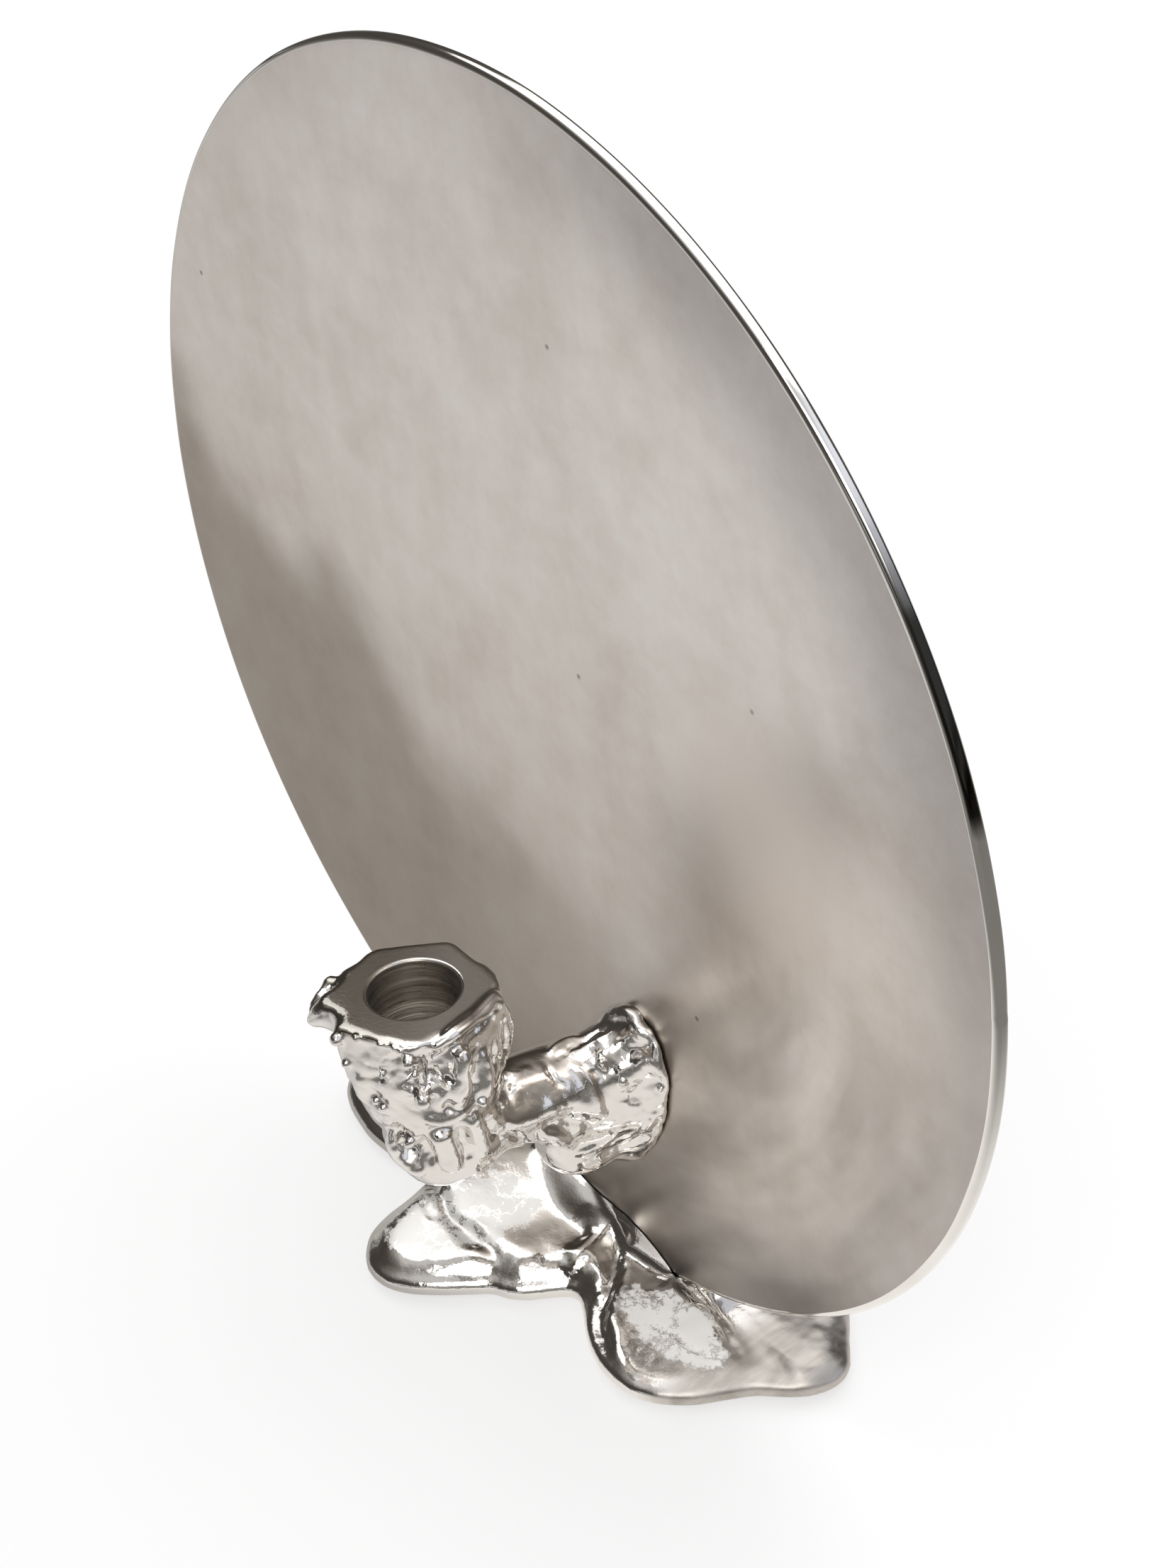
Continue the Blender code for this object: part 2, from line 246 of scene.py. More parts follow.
def applied(obj):
    mesh = evaluated(obj)
    obj.modifiers.clear()
    obj.data = mesh
    return obj


def remeshed(obj, voxel, rounds):
    """Melts obj into one skin of voxels, smoothed a number of rounds."""
    melt = obj.modifiers.new("melt", "REMESH")
    melt.mode = "VOXEL"
    melt.voxel_size = voxel
    melt.use_smooth_shade = True
    flow = obj.modifiers.new("flow", "SMOOTH")
    flow.factor = 0.5
    flow.iterations = rounds
    return applied(obj)


def rows_of(items, attribute):
    """An array with a row of three for each item's attribute."""
    flat = np.empty(len(items) * 3, dtype=np.float32)
    items.foreach_get(attribute, flat)
    return flat.reshape(-1, 3).astype(np.float64)


def points_and_normals(mesh):
    return rows_of(mesh.vertices, "co"), rows_of(mesh.vertex_normals, "vector")


def set_points(mesh, points):
    mesh.vertices.foreach_set("co", points.astype(np.float32).ravel())
    mesh.update()


def joined(obj, extra):
    bm = bmesh.new()
    bm.from_mesh(obj.data)
    bm.from_mesh(extra)
    bm.to_mesh(obj.data)
    bm.free()


def with_blobs(obj, blobs):
    """Adds ellipsoids, given as pairs of centre and three half sizes, to obj's mesh."""
    bm = bmesh.new()
    bmesh.ops.create_icosphere(bm, subdivisions=3, radius=1.0)
    verts = np.array([v.co for v in bm.verts])
    faces = np.array([[v.index for v in f.verts] for f in bm.faces])
    bm.free()
    all_verts = np.concatenate([verts * np.array(half) + np.array(centre) for centre, half in blobs])
    all_faces = np.concatenate([faces + k * len(verts) for k in range(len(blobs))])
    extra = bpy.data.meshes.new("blobs")
    extra.from_pydata(all_verts.tolist(), [], all_faces.tolist())
    joined(obj, extra)


def fold(find, pixels, radius, sink):
    """The blobs of a rounded fold along a line of pixels, sunk into the surface."""
    hits = [find(pixel) for pixel in pixels]
    line = threaded([place + normal * (radius - sink) * MM * 0.5 - normal * sink * MM * 0.5
                     for place, normal in hits], FOLD_STEP * radius * MM)
    share = np.linspace(-1, 1, len(line))
    sizes = radius * MM * (1 - FOLD_TAPER * np.abs(share) ** 3)
    return [(centre, (size,) * 3) for centre, size in zip(line, sizes)]


def stroke(p, find, pixels, height, width):
    """The rise that a ridge or crease along a line of pixels gives to each point."""
    line = threaded([find(pixel)[0] for pixel in pixels])
    reach = STROKE_REACH * width
    low, high = line.min(axis=0) - reach, line.max(axis=0) + reach
    chosen = np.where(np.all((p > low) & (p < high), axis=1))[0]
    rise = np.zeros(len(p))
    if len(chosen):
        apart = np.linalg.norm(p[chosen][:, None, :] - line[None, :, :], axis=2)
        share = apart.argmin(axis=1) / (len(line) - 1)
        ends = np.clip(np.minimum(share, 1 - share) * 5 + 0.15, 0, 1) ** 0.7
        rise[chosen] = height * np.exp(-(apart.min(axis=1) / width) ** 2) * ends
    return rise


def spot(p, find, pixel, size):
    """A soft round patch, 1 at the pixel's place and 0 far from it."""
    place, _ = find(pixel)
    return np.exp(-np.sum((p - place) ** 2, axis=1) / size ** 2)


def lathe(name, profile, centre, along, sides=96, ring=False, knurl=None, teeth=0):
    """A body turned about Y or Z through centre, from pairs of radius and place on the axis."""
    axis = {"Y": Matrix.Rotation(-math.pi / 2, 3, "X"), "Z": Matrix.Identity(3)}[along]
    bm = bmesh.new()
    rows = []
    for radius, height in profile:
        if radius == 0:
            rows.append([bm.verts.new(Vector((0, 0, height)))] * sides)
            continue
        row = []
        for k in range(sides):
            turn = 2 * math.pi * k / sides
            r = radius
            if knurl is not None and radius > knurl:
                r = radius * (1 - KNURL_DEPTH * abs(math.cos(turn * teeth / 2)))
            row.append(bm.verts.new((r * math.cos(turn), r * math.sin(turn), height)))
        rows.append(row)
    if ring:
        rows.append(rows[0])
    for first, second in zip(rows, rows[1:]):
        for k in range(sides):
            after = (k + 1) % sides
            # A corner on the axis is named only once
            corners = dict.fromkeys((first[k], second[k], second[after], first[after]))
            bm.faces.new(tuple(corners))
    for vert in bm.verts:
        vert.co = axis @ vert.co + Vector(centre)
    bmesh.ops.recalc_face_normals(bm, faces=bm.faces)
    return link(bpy.data.objects.new(name, mesh_from(bm, name)))


def rod(name, radius, low_y, high_y, x, z, sides=64):
    """A plain round rod along Y, to cut with."""
    return lathe(name, [(0, low_y), (radius, low_y), (radius, high_y), (0, high_y)], (x, 0, z), "Y", sides)


def screw_rod(side, radius, low_y, high_y):
    """A rod about the axis of one of the two screws, to cut with."""
    middle = SEATS[side][2]
    return rod("screw_" + side, radius, low_y, high_y, middle.x, middle.z)


def carve(obj, *tools):
    for tool in tools:
        cut = obj.modifiers.new(tool.name, "BOOLEAN")
        cut.operation = "DIFFERENCE"
        cut.solver = "MANIFOLD"
        cut.object = tool
    applied(obj)
    for tool in tools:
        bpy.data.objects.remove(tool)
    obj.data.shade_smooth()
    obj.data.set_sharp_from_angle(angle=math.radians(SHARP_ANGLE))


def painted(obj, *materials):
    obj.data.materials.clear()
    for material in materials:
        obj.data.materials.append(material)
    return obj


# Materials

class Nodes:
    """A material built from nodes. A value is another node's output, a number or a colour."""

    def __init__(self, name):
        self.material = bpy.data.materials.new(name)
        self.material.use_nodes = True
        self.tree = self.material.node_tree
        self.shader = self.tree.nodes["Principled BSDF"]
        self.where = self.node("TexCoord", out="Object")

    def feed(self, socket, value):
        if isinstance(value, bpy.types.NodeSocket):
            self.tree.links.new(value, socket)
        elif socket.type == "RGBA":
            socket.default_value = (*value, 1)
        else:
            socket.default_value = value

    def node(self, kind, inputs=(), out=0, **properties):
        """Adds a node, sets its properties and inputs, and gives its output."""
        node = self.tree.nodes.new("ShaderNode" + kind)
        for name, value in properties.items():
            setattr(node, name, value)
        for name, value in dict(inputs).items():
            self.feed(node.inputs[name], value)
        return node.outputs[out]

    def axes(self):
        return self.node("SeparateXYZ", {0: self.where}).node.outputs

    def distance(self, place=(0, 0, 0), at=None):
        return self.node("VectorMath", {0: at or self.where, 1: place}, "Value", operation="DISTANCE")

    def ramp(self, source, *stops):
        """A colour, or a grey given as one number, from stops of place and colour."""
        out = self.node("ValToRGB", {"Fac": source}, "Color")
        ramp = out.node.color_ramp
        while len(ramp.elements) < len(stops):
            ramp.elements.new(0.5)
        for element, (place, colour) in zip(ramp.elements, stops):
            element.position = place
            element.color = (*(colour if isinstance(colour, tuple) else (colour,) * 3), 1)
        return out

    def noise(self, scale, detail=4.0, rough=0.55, stretch=None, at=None):
        where = at or self.where
        if stretch is not None:
            where = self.node("Mapping", {"Vector": where, "Scale": stretch})
        inputs = {"Vector": where, "Scale": scale, "Detail": detail, "Roughness": rough}
        return self.node("TexNoise", inputs, "Fac")

    def fade(self, source, low, high, start=0.0, end=1.0, kind="SMOOTHSTEP"):
        """From start at low to end at high."""
        return self.node("MapRange", {"Value": source, "From Min": low, "From Max": high, "To Min": start,
                                      "To Max": end}, "Result", interpolation_type=kind)

    def math(self, operation, first, *others):
        """One operation on a value, or on all the values from left to right."""
        for other in others or (0.0,):
            first = self.node("Math", {0: first, 1: other}, operation=operation)
        return first

    def mix(self, share, first, second, blend="MIX"):
        return self.node("MixRGB", {"Fac": share, "Color1": first, "Color2": second}, blend_type=blend)

    def bump(self, height, strength, distance, after=None):
        inputs = {"Height": height, "Strength": strength, "Distance": distance}
        if after is not None:
            inputs["Normal"] = after
        return self.node("Bump", inputs)

    def surface(self, **inputs):
        """Feeds the shader's inputs and gives the material."""
        for name, value in inputs.items():
            self.feed(self.shader.inputs[name.replace("_", " ")], value)
        return self.material


def polished(name):
    """The nodes, colour, roughness and speckle of polished cast metal."""
    m = Nodes(name)
    metal = m.ramp(m.noise(45, 5), (0.30, (0.73, 0.70, 0.665)), (0.70, (0.81, 0.785, 0.755)))
    dull = m.ramp(m.noise(160, 6), (0.35, 0.06), (0.75, 0.14))
    speckle = m.ramp(m.noise(75, 3), (0.46, 0.0), (0.66, 0.14))
    return m, metal, dull, speckle


def polished_surface(m, metal, dull, speckle, metallic=1.0):
    coarse = m.bump(m.noise(420, 4), speckle, 1.0 * MM)
    fine = m.bump(m.noise(1500, 2), 0.06, 0.4 * MM, coarse)
    return m.surface(Base_Color=metal, Roughness=dull, Metallic=metallic, Normal=fine)


def arm_material():
    """Polished cast metal. The cup's top has no speckle, and a painted dark reflection darkens it towards its
    front.
    """
    m, metal, dull, speckle = polished("polished_casting")
    x, y, z = m.axes()
    top = CUP_TOP - 1.2 * MM
    speckle = m.math("MULTIPLY", speckle, m.fade(z, top - 1 * MM, top, 1.0, 0.0, "LINEAR"))
    along = m.math("ADD", y, m.math("MULTIPLY", x, 0.9))
    front = m.fade(along, -52 * MM, -26 * MM, 1.0, 0.0)
    # Painted dark reflection: the cup's top is mixed to a darker colour towards its front
    metal = m.mix(m.math("MULTIPLY", front, m.fade(z, top - 1 * MM, top)), metal, (0.50, 0.475, 0.43))
    return polished_surface(m, metal, dull, speckle)


# Frosted patches on the front lobe and the tongue, rough and with a painted highlight in their near-white
# colour: middle, half sizes, turn about Z, metallic share and roughness
FROST_AND_HIGHLIGHT = (
    ((50 * MM, -13 * MM, 9 * MM), (21 * MM, 9 * MM, 14 * MM), 0.06, 0.12, 0.75),
    ((-15 * MM, -29 * MM, 9 * MM), (25 * MM, 14 * MM, 16 * MM), 1.10, 0.55, 0.42),
)
BRUSHED_FROM = 62 * MM      # on X, where the base's right lobe is brushed


def base_material():
    """Polished cast metal, brushed at the right, and with frosted patches whose near-white colour is a
    painted highlight.
    """
    m, metal, dull, speckle = polished("polished_base")
    x, _, _ = m.axes()
    share = m.fade(x, BRUSHED_FROM - 4 * MM, BRUSHED_FROM + 4 * MM, kind="LINEAR")
    streaks = m.noise(260, 4, 0.6, (1.0, 0.10, 1.0))
    dull = m.mix(share, dull, m.ramp(streaks, (0.35, 0.34), (0.70, 0.46)))
    metal = m.mix(share, metal, m.ramp(streaks, (0.38, (0.40, 0.372, 0.34)), (0.62, (0.56, 0.525, 0.49))))
    # Thin cracks show the polished metal through the frosting and its painted highlight
    vein = m.math("ABSOLUTE", m.math("SUBTRACT", m.noise(70, 7, 0.7), 0.5))
    whole = m.fade(vein, 0.006, 0.022, 0.25, 1.0)
    ragged = m.math("MULTIPLY", m.noise(130, 8, 0.75), 1.5)
    metallic = []
    for place, half, turn, metal_share, dullness in FROST_AND_HIGHLIGHT:
        around = m.node("Mapping", {"Vector": m.where, "Location": place, "Rotation": (0, 0, turn),
                                    "Scale": half}, vector_type="TEXTURE")
        inside = m.fade(m.math("ADD", m.distance(at=around), ragged), 1.50, 1.64, 1.0, 0.0)
        # Painted highlight: inside the patches the colour turns near-white and the metal less metallic
        highlight_cover = m.math("MULTIPLY", inside, whole)
        metal = m.mix(highlight_cover, metal, (0.97, 0.955, 0.925))
        dull = m.mix(highlight_cover, dull, (dullness,) * 3)
        metallic.append(m.math("SUBTRACT", 1.0, m.math("MULTIPLY", highlight_cover, 1 - metal_share)))
    return polished_surface(m, metal, dull, speckle, m.math("MULTIPLY", *metallic))


# The small dark pits in the disc's face, as pixels
PITS = ((283, 385), (770, 490), (815, 955), (1060, 1005), (983, 1437))
PAINTED_LIGHT_PLACE = (83 * MM, -2.3 * MM, 174 * MM)     # a place to the right of the arm, duller and painted paler over the arm's reflection


def satin_material():
    m = Nodes("satin_disc_face")
    x, y, z = m.axes()
    reach = m.distance(DISC_CENTRE)
    in_front = m.fade(y, DISC_CENTRE.y - 1 * MM, DISC_CENTRE.y + 1 * MM, 1.0, 0.0)
    # A painted dark reflection in a band inside the right-hand edge
    dark_reflection_band = m.math("MULTIPLY", m.fade(reach, 118 * MM, 157 * MM), m.fade(x, -20 * MM, 70 * MM))
    # A painted reflection of a soft shadow over the lower left of the front face, under a wavy slanting
    # border
    wavy = m.math("MULTIPLY", m.math("ADD", m.noise(15, 3, 0.45), -0.5), 110 * MM)
    above = m.math("ADD", z, m.math("MULTIPLY", x, 0.49), -112 * MM, wavy)
    width = m.fade(x, -120 * MM, 20 * MM, 15 * MM, 30 * MM)
    shadow_reflection = m.math("MULTIPLY", m.fade(m.math("DIVIDE", above, width), -1, 1, 1.0, 0.0),
                   m.fade(x, -70 * MM, 90 * MM, 1.0, 0.12), in_front)
    # Painted reflections: soft streaks that follow the edge over the lower right
    turn = m.math("ARCTAN2", m.math("SUBTRACT", z, DISC_CENTRE.z), m.math("SUBTRACT", x, DISC_CENTRE.x))
    fan = m.node("CombineXYZ", {"X": m.math("MULTIPLY", reach, 38.0), "Y": m.math("MULTIPLY", turn, 1.3)})
    streaks = m.ramp(m.noise(1.0, 3, 0.55, at=fan), (0.36, (0.60, 0.59, 0.575)), (0.62, 0.93))
    reflection_streaked = m.math("MULTIPLY", m.fade(reach, 45 * MM, 105 * MM), m.fade(turn, -0.5, 0.0, 1.0, 0.0),
                      m.fade(turn, -1.55, -1.15))
    tints = [
        # Painted light: the upper half is lighter and cooler, standing in for its brighter reflection
        (m.fade(z, 130 * MM, 235 * MM), (1.10, 1.125, 1.15)),
        (1.0, m.ramp(m.noise(240, 2, 0.5, (1.0, 1.0, 0.05)), (0.30, 0.985), (0.60, 1.0))),
        (1.0, m.ramp(m.noise(75, 6, 0.7), (0.36, (0.955, 0.94, 0.93)), (0.56, 1.0))),
        (dark_reflection_band, (0.66, 0.665, 0.68)),
        (shadow_reflection, (0.62, 0.60, 0.565)),
        (reflection_streaked, streaks),
    ]
    find = surface_finder(cad_mesh("reflector_disc"))
    for pixel in PITS:
        apart = m.distance(tuple(find(pixel)[0]))
        tints.append((1.0, m.fade(apart, 0.4 * MM, 0.9 * MM, 0.45, 1.0, "LINEAR")))
    shade = m.ramp(m.noise(24, 9, 0.66), (0.34, (0.705, 0.638, 0.58)), (0.50, (0.775, 0.712, 0.656)),
                   (0.66, (0.82, 0.765, 0.715)))
    for share, tint in tints:
        shade = m.mix(share, shade, tint, "MULTIPLY")
    # Painted light: a paler colour over the arm's reflection to the right of the arm, where the roughness is
    # higher too
    painted_light = m.math("MULTIPLY", m.fade(m.distance(PAINTED_LIGHT_PLACE), 6 * MM, 42 * MM, 1.0, 0.0), in_front)
    dull = m.ramp(m.noise(14, 6, 0.6), (0.30, 0.30), (0.70, 0.37))
    cloudy = m.bump(m.noise(60, 4, 0.5), 0.05, 2 * MM)
    brushed = m.bump(m.noise(220, 3, 0.5, (1.0, 1.0, 0.06)), 0.02, 0.2 * MM, cloudy)
    return m.surface(Base_Color=m.mix(painted_light, shade, (0.99, 0.915, 0.85)), Metallic=1.0,
                     Roughness=m.mix(painted_light, dull, (0.46,) * 3), Normal=brushed)


def edge_material():
    """The disc's polished edge, with a painted dark reflection along a length at the right between bright
    borders.
    """
    m = Nodes("polished_disc_edge")
    x, y, z = m.axes()
    ends = m.math("ADD", z, m.math("MULTIPLY", m.noise(60, 3), 10 * MM))
    across = m.math("ABSOLUTE", m.math("SUBTRACT", y, DISC_CENTRE.y - 0.3 * MM))
    # Painted dark reflection: the edge turns near black along a length at the right
    black = m.math("MULTIPLY", m.fade(ends, 214 * MM, 219 * MM), m.fade(ends, 256 * MM, 282 * MM, 1.0, 0.0),
                   m.fade(x, 20 * MM, 60 * MM), m.fade(across, 1.15 * MM, 1.5 * MM, 1.0, 0.0))
    colour = m.ramp(m.noise(60, 4), (0.30, (0.80, 0.775, 0.74)), (0.70, (0.87, 0.85, 0.82)))
    lines = m.bump(m.noise(500, 2, 0.5, (0.05, 1.0, 0.05)), 0.15, 0.2 * MM)
    return m.surface(Base_Color=m.mix(black, colour, (0.035, 0.033, 0.028)), Metallic=1.0, Roughness=0.09,
                     Normal=lines)


def bore_material():
    """The bored wall: turned, duller and finely ringed."""
    m = Nodes("bored_wall")
    tint = m.ramp(m.noise(90, 4, 0.6, (0.6, 0.6, 9.0)), (0.35, (0.47, 0.435, 0.395)),
                  (0.65, (0.66, 0.625, 0.58)))
    rings = m.bump(m.noise(260, 3, 0.6, (0.15, 0.15, 9.0)), 0.35, 0.5 * MM)
    dull = m.ramp(m.noise(300, 3), (0.3, 0.26), (0.7, 0.38))
    return m.surface(Base_Color=tint, Metallic=1.0, Roughness=dull, Normal=rings)


def steel_material():
    m = Nodes("turned_steel")
    tint = m.ramp(m.noise(300, 4), (0.3, (0.50, 0.50, 0.51)), (0.7, (0.60, 0.60, 0.61)))
    dull = m.ramp(m.noise(900, 3), (0.3, 0.22), (0.7, 0.36))
    grain = m.bump(m.noise(2500, 2), 0.15, 0.1 * MM)
    return m.surface(Base_Color=tint, Metallic=1.0, Roughness=dull, Normal=grain)


def felt_material():
    m = Nodes("black_felt_fibres")
    tint = m.ramp(m.noise(1400, 5, 0.7), (0.3, 0.012), (0.7, 0.045))
    fibres = m.bump(m.noise(1800, 5, 0.7), 0.6, 0.3 * MM)
    return m.surface(Base_Color=tint, Roughness=0.97, Specular_IOR_Level=0.15, Normal=fibres)


# Pieces

DISC_SIDES = 720
EDGE_STEPS = 10
# The rings of a face of the disc, as shares of its flat part's radius
FACE_SHARES = (0.02, 0.06, 0.12, 0.2, 0.28, 0.36, 0.44, 0.52, 0.6, 0.68, 0.76, 0.83, 0.88,
               0.92, 0.95, 0.97, 0.985, 0.994)
SWELL_AT, SWELL_WIDTH = 310, 40     # degrees round the disc


def disc_grid():
    """The points of the disc, ring by ring from its front to its back, then its two middles."""
    angle = np.linspace(0, 2 * math.pi, DISC_SIDES, endpoint=False)
    circle = np.stack([np.cos(angle), np.zeros(DISC_SIDES), np.sin(angle)], axis=1)
    # The disc is not quite round, and its edge is thicker at the lower right
    swell = np.exp(-((np.degrees(angle) - SWELL_AT) / SWELL_WIDTH) ** 2)
    half = DISC_HALF - 0.3 * MM * smoothstep(-0.3, 1.0, np.sin(angle))
    round_in = 1.5 * MM + 0.35 * MM * noise(circle, 0.22, 9) + 0.4 * MM * swell
    flat = DISC_RADIUS + 0.9 * MM * swell + 0.10 * MM * noise(circle, 0.35, 5) - round_in
    front = [(flat * share, -half) for share in FACE_SHARES]
    for turn in np.linspace(0, math.pi / 2, EDGE_STEPS + 1):
        front.append((flat + round_in * math.sin(turn), round_in * 0.9 * (1 - math.cos(turn)) - half))
    rings = front + [(radius, -y) for radius, y in reversed(front)]
    rings += [(np.zeros(1), -half.mean()), (np.zeros(1), half.mean())]
    grid = np.concatenate([radius[:, None] * circle[:len(radius)] + np.outer(y, (0, 1, 0))
                           for radius, y in rings])
    grid += np.array(DISC_CENTRE)
    grid[:, 1] += 0.10 * MM * noise(grid, 0.055, 3) + 0.05 * MM * noise(grid, 0.020, 4)
    return grid, len(rings) - 2


def make_disc(face, edge):
    """The disc: flat faces with a faint wave, and a rounded, hand-polished edge."""
    grid, rings = disc_grid()
    column = np.arange(DISC_SIDES)
    after = (column + 1) % DISC_SIDES
    faces = []
    for start in range(0, (rings - 1) * DISC_SIDES, DISC_SIDES):
        corners = (column, after, after + DISC_SIDES, column + DISC_SIDES)
        faces += (np.stack(corners, axis=1) + start).tolist()
    last = (rings - 1) * DISC_SIDES
    front, back = rings * DISC_SIDES, rings * DISC_SIDES + 1
    for k in range(DISC_SIDES):
        faces.append((front, int(after[k]), k))
        faces.append((back, last + k, last + int(after[k])))
    mesh = bpy.data.meshes.new("disc")
    mesh.from_pydata(grid.tolist(), [], faces)
    mesh.validate()
    mesh.shade_smooth()
    disc = painted(link(bpy.data.objects.new("disc", mesh)), face, edge)
    slots = np.zeros(len(faces), dtype=np.int32)
    edge_rows = slice(len(FACE_SHARES) * DISC_SIDES, (len(FACE_SHARES) + 2 * EDGE_STEPS + 1) * DISC_SIDES)
    slots[edge_rows] = 1
    mesh.polygons.foreach_set("material_index", slots)
    carve(disc, *(screw_rod(side, SCREW_HOLE, -10 * MM, 10 * MM) for side in SEATS))
    return disc


# Ridges and creases of the puddle: height and width in millimetres, and the pixels along it
BASE_STROKES = (
    (-1.5, 2.3, ((606, 1660), (618, 1682), (630, 1706), (654, 1732), (682, 1755), (706, 1768))),
    (-0.5, 0.8, ((612, 1676), (600, 1690), (603, 1706), (618, 1722))),
    (0.5, 1.0, ((628, 1690), (642, 1708), (662, 1722), (684, 1736))),
    (-0.7, 3.0, ((838, 1700), (820, 1730), (790, 1755), (755, 1772))),
    (1.0, 2.6, ((856, 1730), (836, 1752), (814, 1774), (798, 1792))),
    (-1.4, 2.6, ((868, 1722), (868, 1768), (856, 1814), (846, 1870), (860, 1920))),
    (0.5, 0.7, ((866, 1728), (880, 1768), (889, 1794))),
    (-0.7, 0.9, ((925, 1790), (960, 1808), (1000, 1850), (1025, 1885), (1045, 1918))),
    (-0.45, 0.6, ((893, 1832), (915, 1826), (940, 1834))),
    (-0.45, 0.6, ((915, 1868), (945, 1880), (975, 1902), (1005, 1918))),
)

# Plan of the puddle of metal, anticlockwise from its left end, in millimetres
PUDDLE = (
    (-95, -7), (-91.6, -15), (-87, -19.9), (-81, -22.8), (-75, -24.4), (-67.8, -25.7),
    (-61, -25.7), (-55, -25), (-49, -22.5), (-44.5, -21), (-41.5, -23), (-39.5, -28),
    (-37.8, -34), (-36.4, -41), (-33.6, -48), (-28.5, -53), (-22.5, -55.8), (-16, -55.4),
    (-10, -52.2), (-4.2, -46.5), (1.5, -39.6), (4.6, -36), (8.2, -34.4), (12.4, -30.6),
    (16, -24.9), (19, -21.6), (22.3, -21.7), (27, -24.2), (33.7, -28.2), (41, -31.2),
    (48, -32.5), (56, -32), (63, -28.5), (69, -22.5), (73, -15.5), (77, -8.5), (82, -3.5),
    (86, 2), (87.6, 8.5), (85.5, 14.5), (78, 20.8), (70.3, 27.2), (62, 32.5), (52, 35.5),
    (43, 38), (40, 44), (39.5, 52), (36, 60), (29, 66.5), (20, 69), (11, 67.5), (4, 62),
    (0, 55), (-3, 48), (-9, 46), (-17, 48.5), (-27, 53), (-38, 56), (-48, 54), (-53, 48),
    (-52, 40), (-48, 32), (-44, 26), (-46, 22), (-55, 22), (-66, 22.5), (-78, 19.5),
    (-88, 13), (-94, 4),
)
RIM_HALF = 2.9 * MM       # half the height of the puddle's rounded rim
# The puddle's domes, in millimetres: how fast each falls away from its ridge, and the
# ridge's points in plan with their heights over the floor
DOMES = (
    # tongue
    (0.010, ((-24, -1, 20.6), (-27, -18, 17.4), (-28, -34, 13.4), (-26, -44, 11.2))),
    # lip
    (0.060, ((-14, 0, 22.0), (-5, 0, 21.2), (6, 0, 18.4), (16, 0, 14.4), (26, 0, 11.8), (34, 0, 10.5))),
    # shelf
    (0.002, ((-5, -13, 13.0), (2, -23, 11.4), (8, -12, 12.0), (13, -14, 10.8), (17, -19, 9.6))),
    # front lobe
    (0.012, ((33, 0, 10.8), (34, -14, 7.6), (40, -14, 8.5), (44, 0, 12.4), (47, -16, 8.0), (53, -16, 8.2),
             (56, -1, 12.2), (60, -10, 9.6))),
    # right lobe
    (0.001, ((64, 3, 10.0), (76, 12, 9.8), (80, 7, 9.6))),
    # left lobe
    (0.006, ((-40, -1, 12.5), (-58, -3, 10.4), (-78, -5, 9.4))),
    # rear
    (0.016, ((16, 10, 30.0), (20, 28, 18.0), (21, 44, 13.5), (21, 56, 11.0))),
    # rear left
    (0.012, ((-6, 10, 20.0), (-22, 26, 14.5), (-38, 40, 11.5))),
)
DOME_BLEND = 0.9 * MM
DOME_STEP = 1.5 * MM
CHUNK = 4000
# Lumps of the spine behind the disc: middle and half sizes in millimetres
SPINE = (
    ((18, 10, 23.6), (27, 17, 17)), ((21.5, 8, 45.6), (16, 11, 26)), ((23, 7, 77.6), (15.5, 10.5, 21.0)),
    ((17, 17, 30), (9, 12, 16)), ((28, 12, 52), (8, 8, 22)), ((12, 9, 58), (6, 8, 20)),
)
SLOT_PLAY = 0.3 * MM        # between the disc and its slot
SEAT_RADIUS = 5.8 * MM      # of the recess for a screw's head


def puddle_heights(x, y, edge):
    """Height of the puddle's top over its underside, at plan points, in metres."""
    inward = np.empty(len(x))
    for first in range(0, len(x), CHUNK):
        part = slice(first, first + CHUNK)
        inward[part] = np.hypot(x[part, None] - edge[None, :, 0],
                                y[part, None] - edge[None, :, 1]).min(axis=1)
    total = np.full(len(x), math.exp((2 * RIM_HALF + 0.5 * MM) / DOME_BLEND))
    for fall, ridge in DOMES:
        line = threaded(np.array(ridge) * MM, DOME_STEP)
        apart = (x[:, None] - line[None, :, 0]) ** 2 + (y[:, None] - line[None, :, 1]) ** 2
        dome = (line[None, :, 2] - fall / MM * apart).max(axis=1) - BASE_LOW
        if ridge[0][1] > 0:
            # A dome behind the disc ends at the disc
            dome -= 2.5 * np.maximum(0, 1 * MM - y)
        total += np.exp(dome / DOME_BLEND)
    high = DOME_BLEND * np.log(total)
    limit = 2 * RIM_HALF + 0.92 * np.maximum(inward - 2.2 * MM, 0)
    return -DOME_BLEND * np.log(np.exp(-high / DOME_BLEND) + np.exp(-limit / DOME_BLEND))


def puddle_object():
    """The puddle: a plate with a rounded rim, raised to its domes."""
    edge = closed_line(PUDDLE) * MM
    curve = bpy.data.curves.new("puddle", "CURVE")
    curve.dimensions = "2D"
    curve.fill_mode = "BOTH"
    curve.bevel_depth = RIM_HALF
    curve.bevel_resolution = 5
    curve.offset = -RIM_HALF
    spline = curve.splines.new("POLY")
    spline.points.add(len(edge) - 1)
    for point, (x, y) in zip(spline.points, edge):
        point.co = (x, y, 0, 1)
    spline.use_cyclic_u = True
    plate = link(bpy.data.objects.new("puddle", curve))
    mesh = welded(evaluated(plate), "base_cast", 0.02 * MM)
    bpy.data.objects.remove(plate)
    base = link(bpy.data.objects.new("base_cast", mesh))
    remeshed(base, 1.0 * MM, 2)
    p, _ = points_and_normals(base.data)
    upper = np.clip(p[:, 2] / RIM_HALF, 0, 1)
    high = puddle_heights(p[:, 0], p[:, 1], edge)
    p[:, 2] = BASE_LOW + RIM_HALF + np.where(p[:, 2] > 0, upper * (high - RIM_HALF), p[:, 2])
    set_points(base.data, p)
    return base


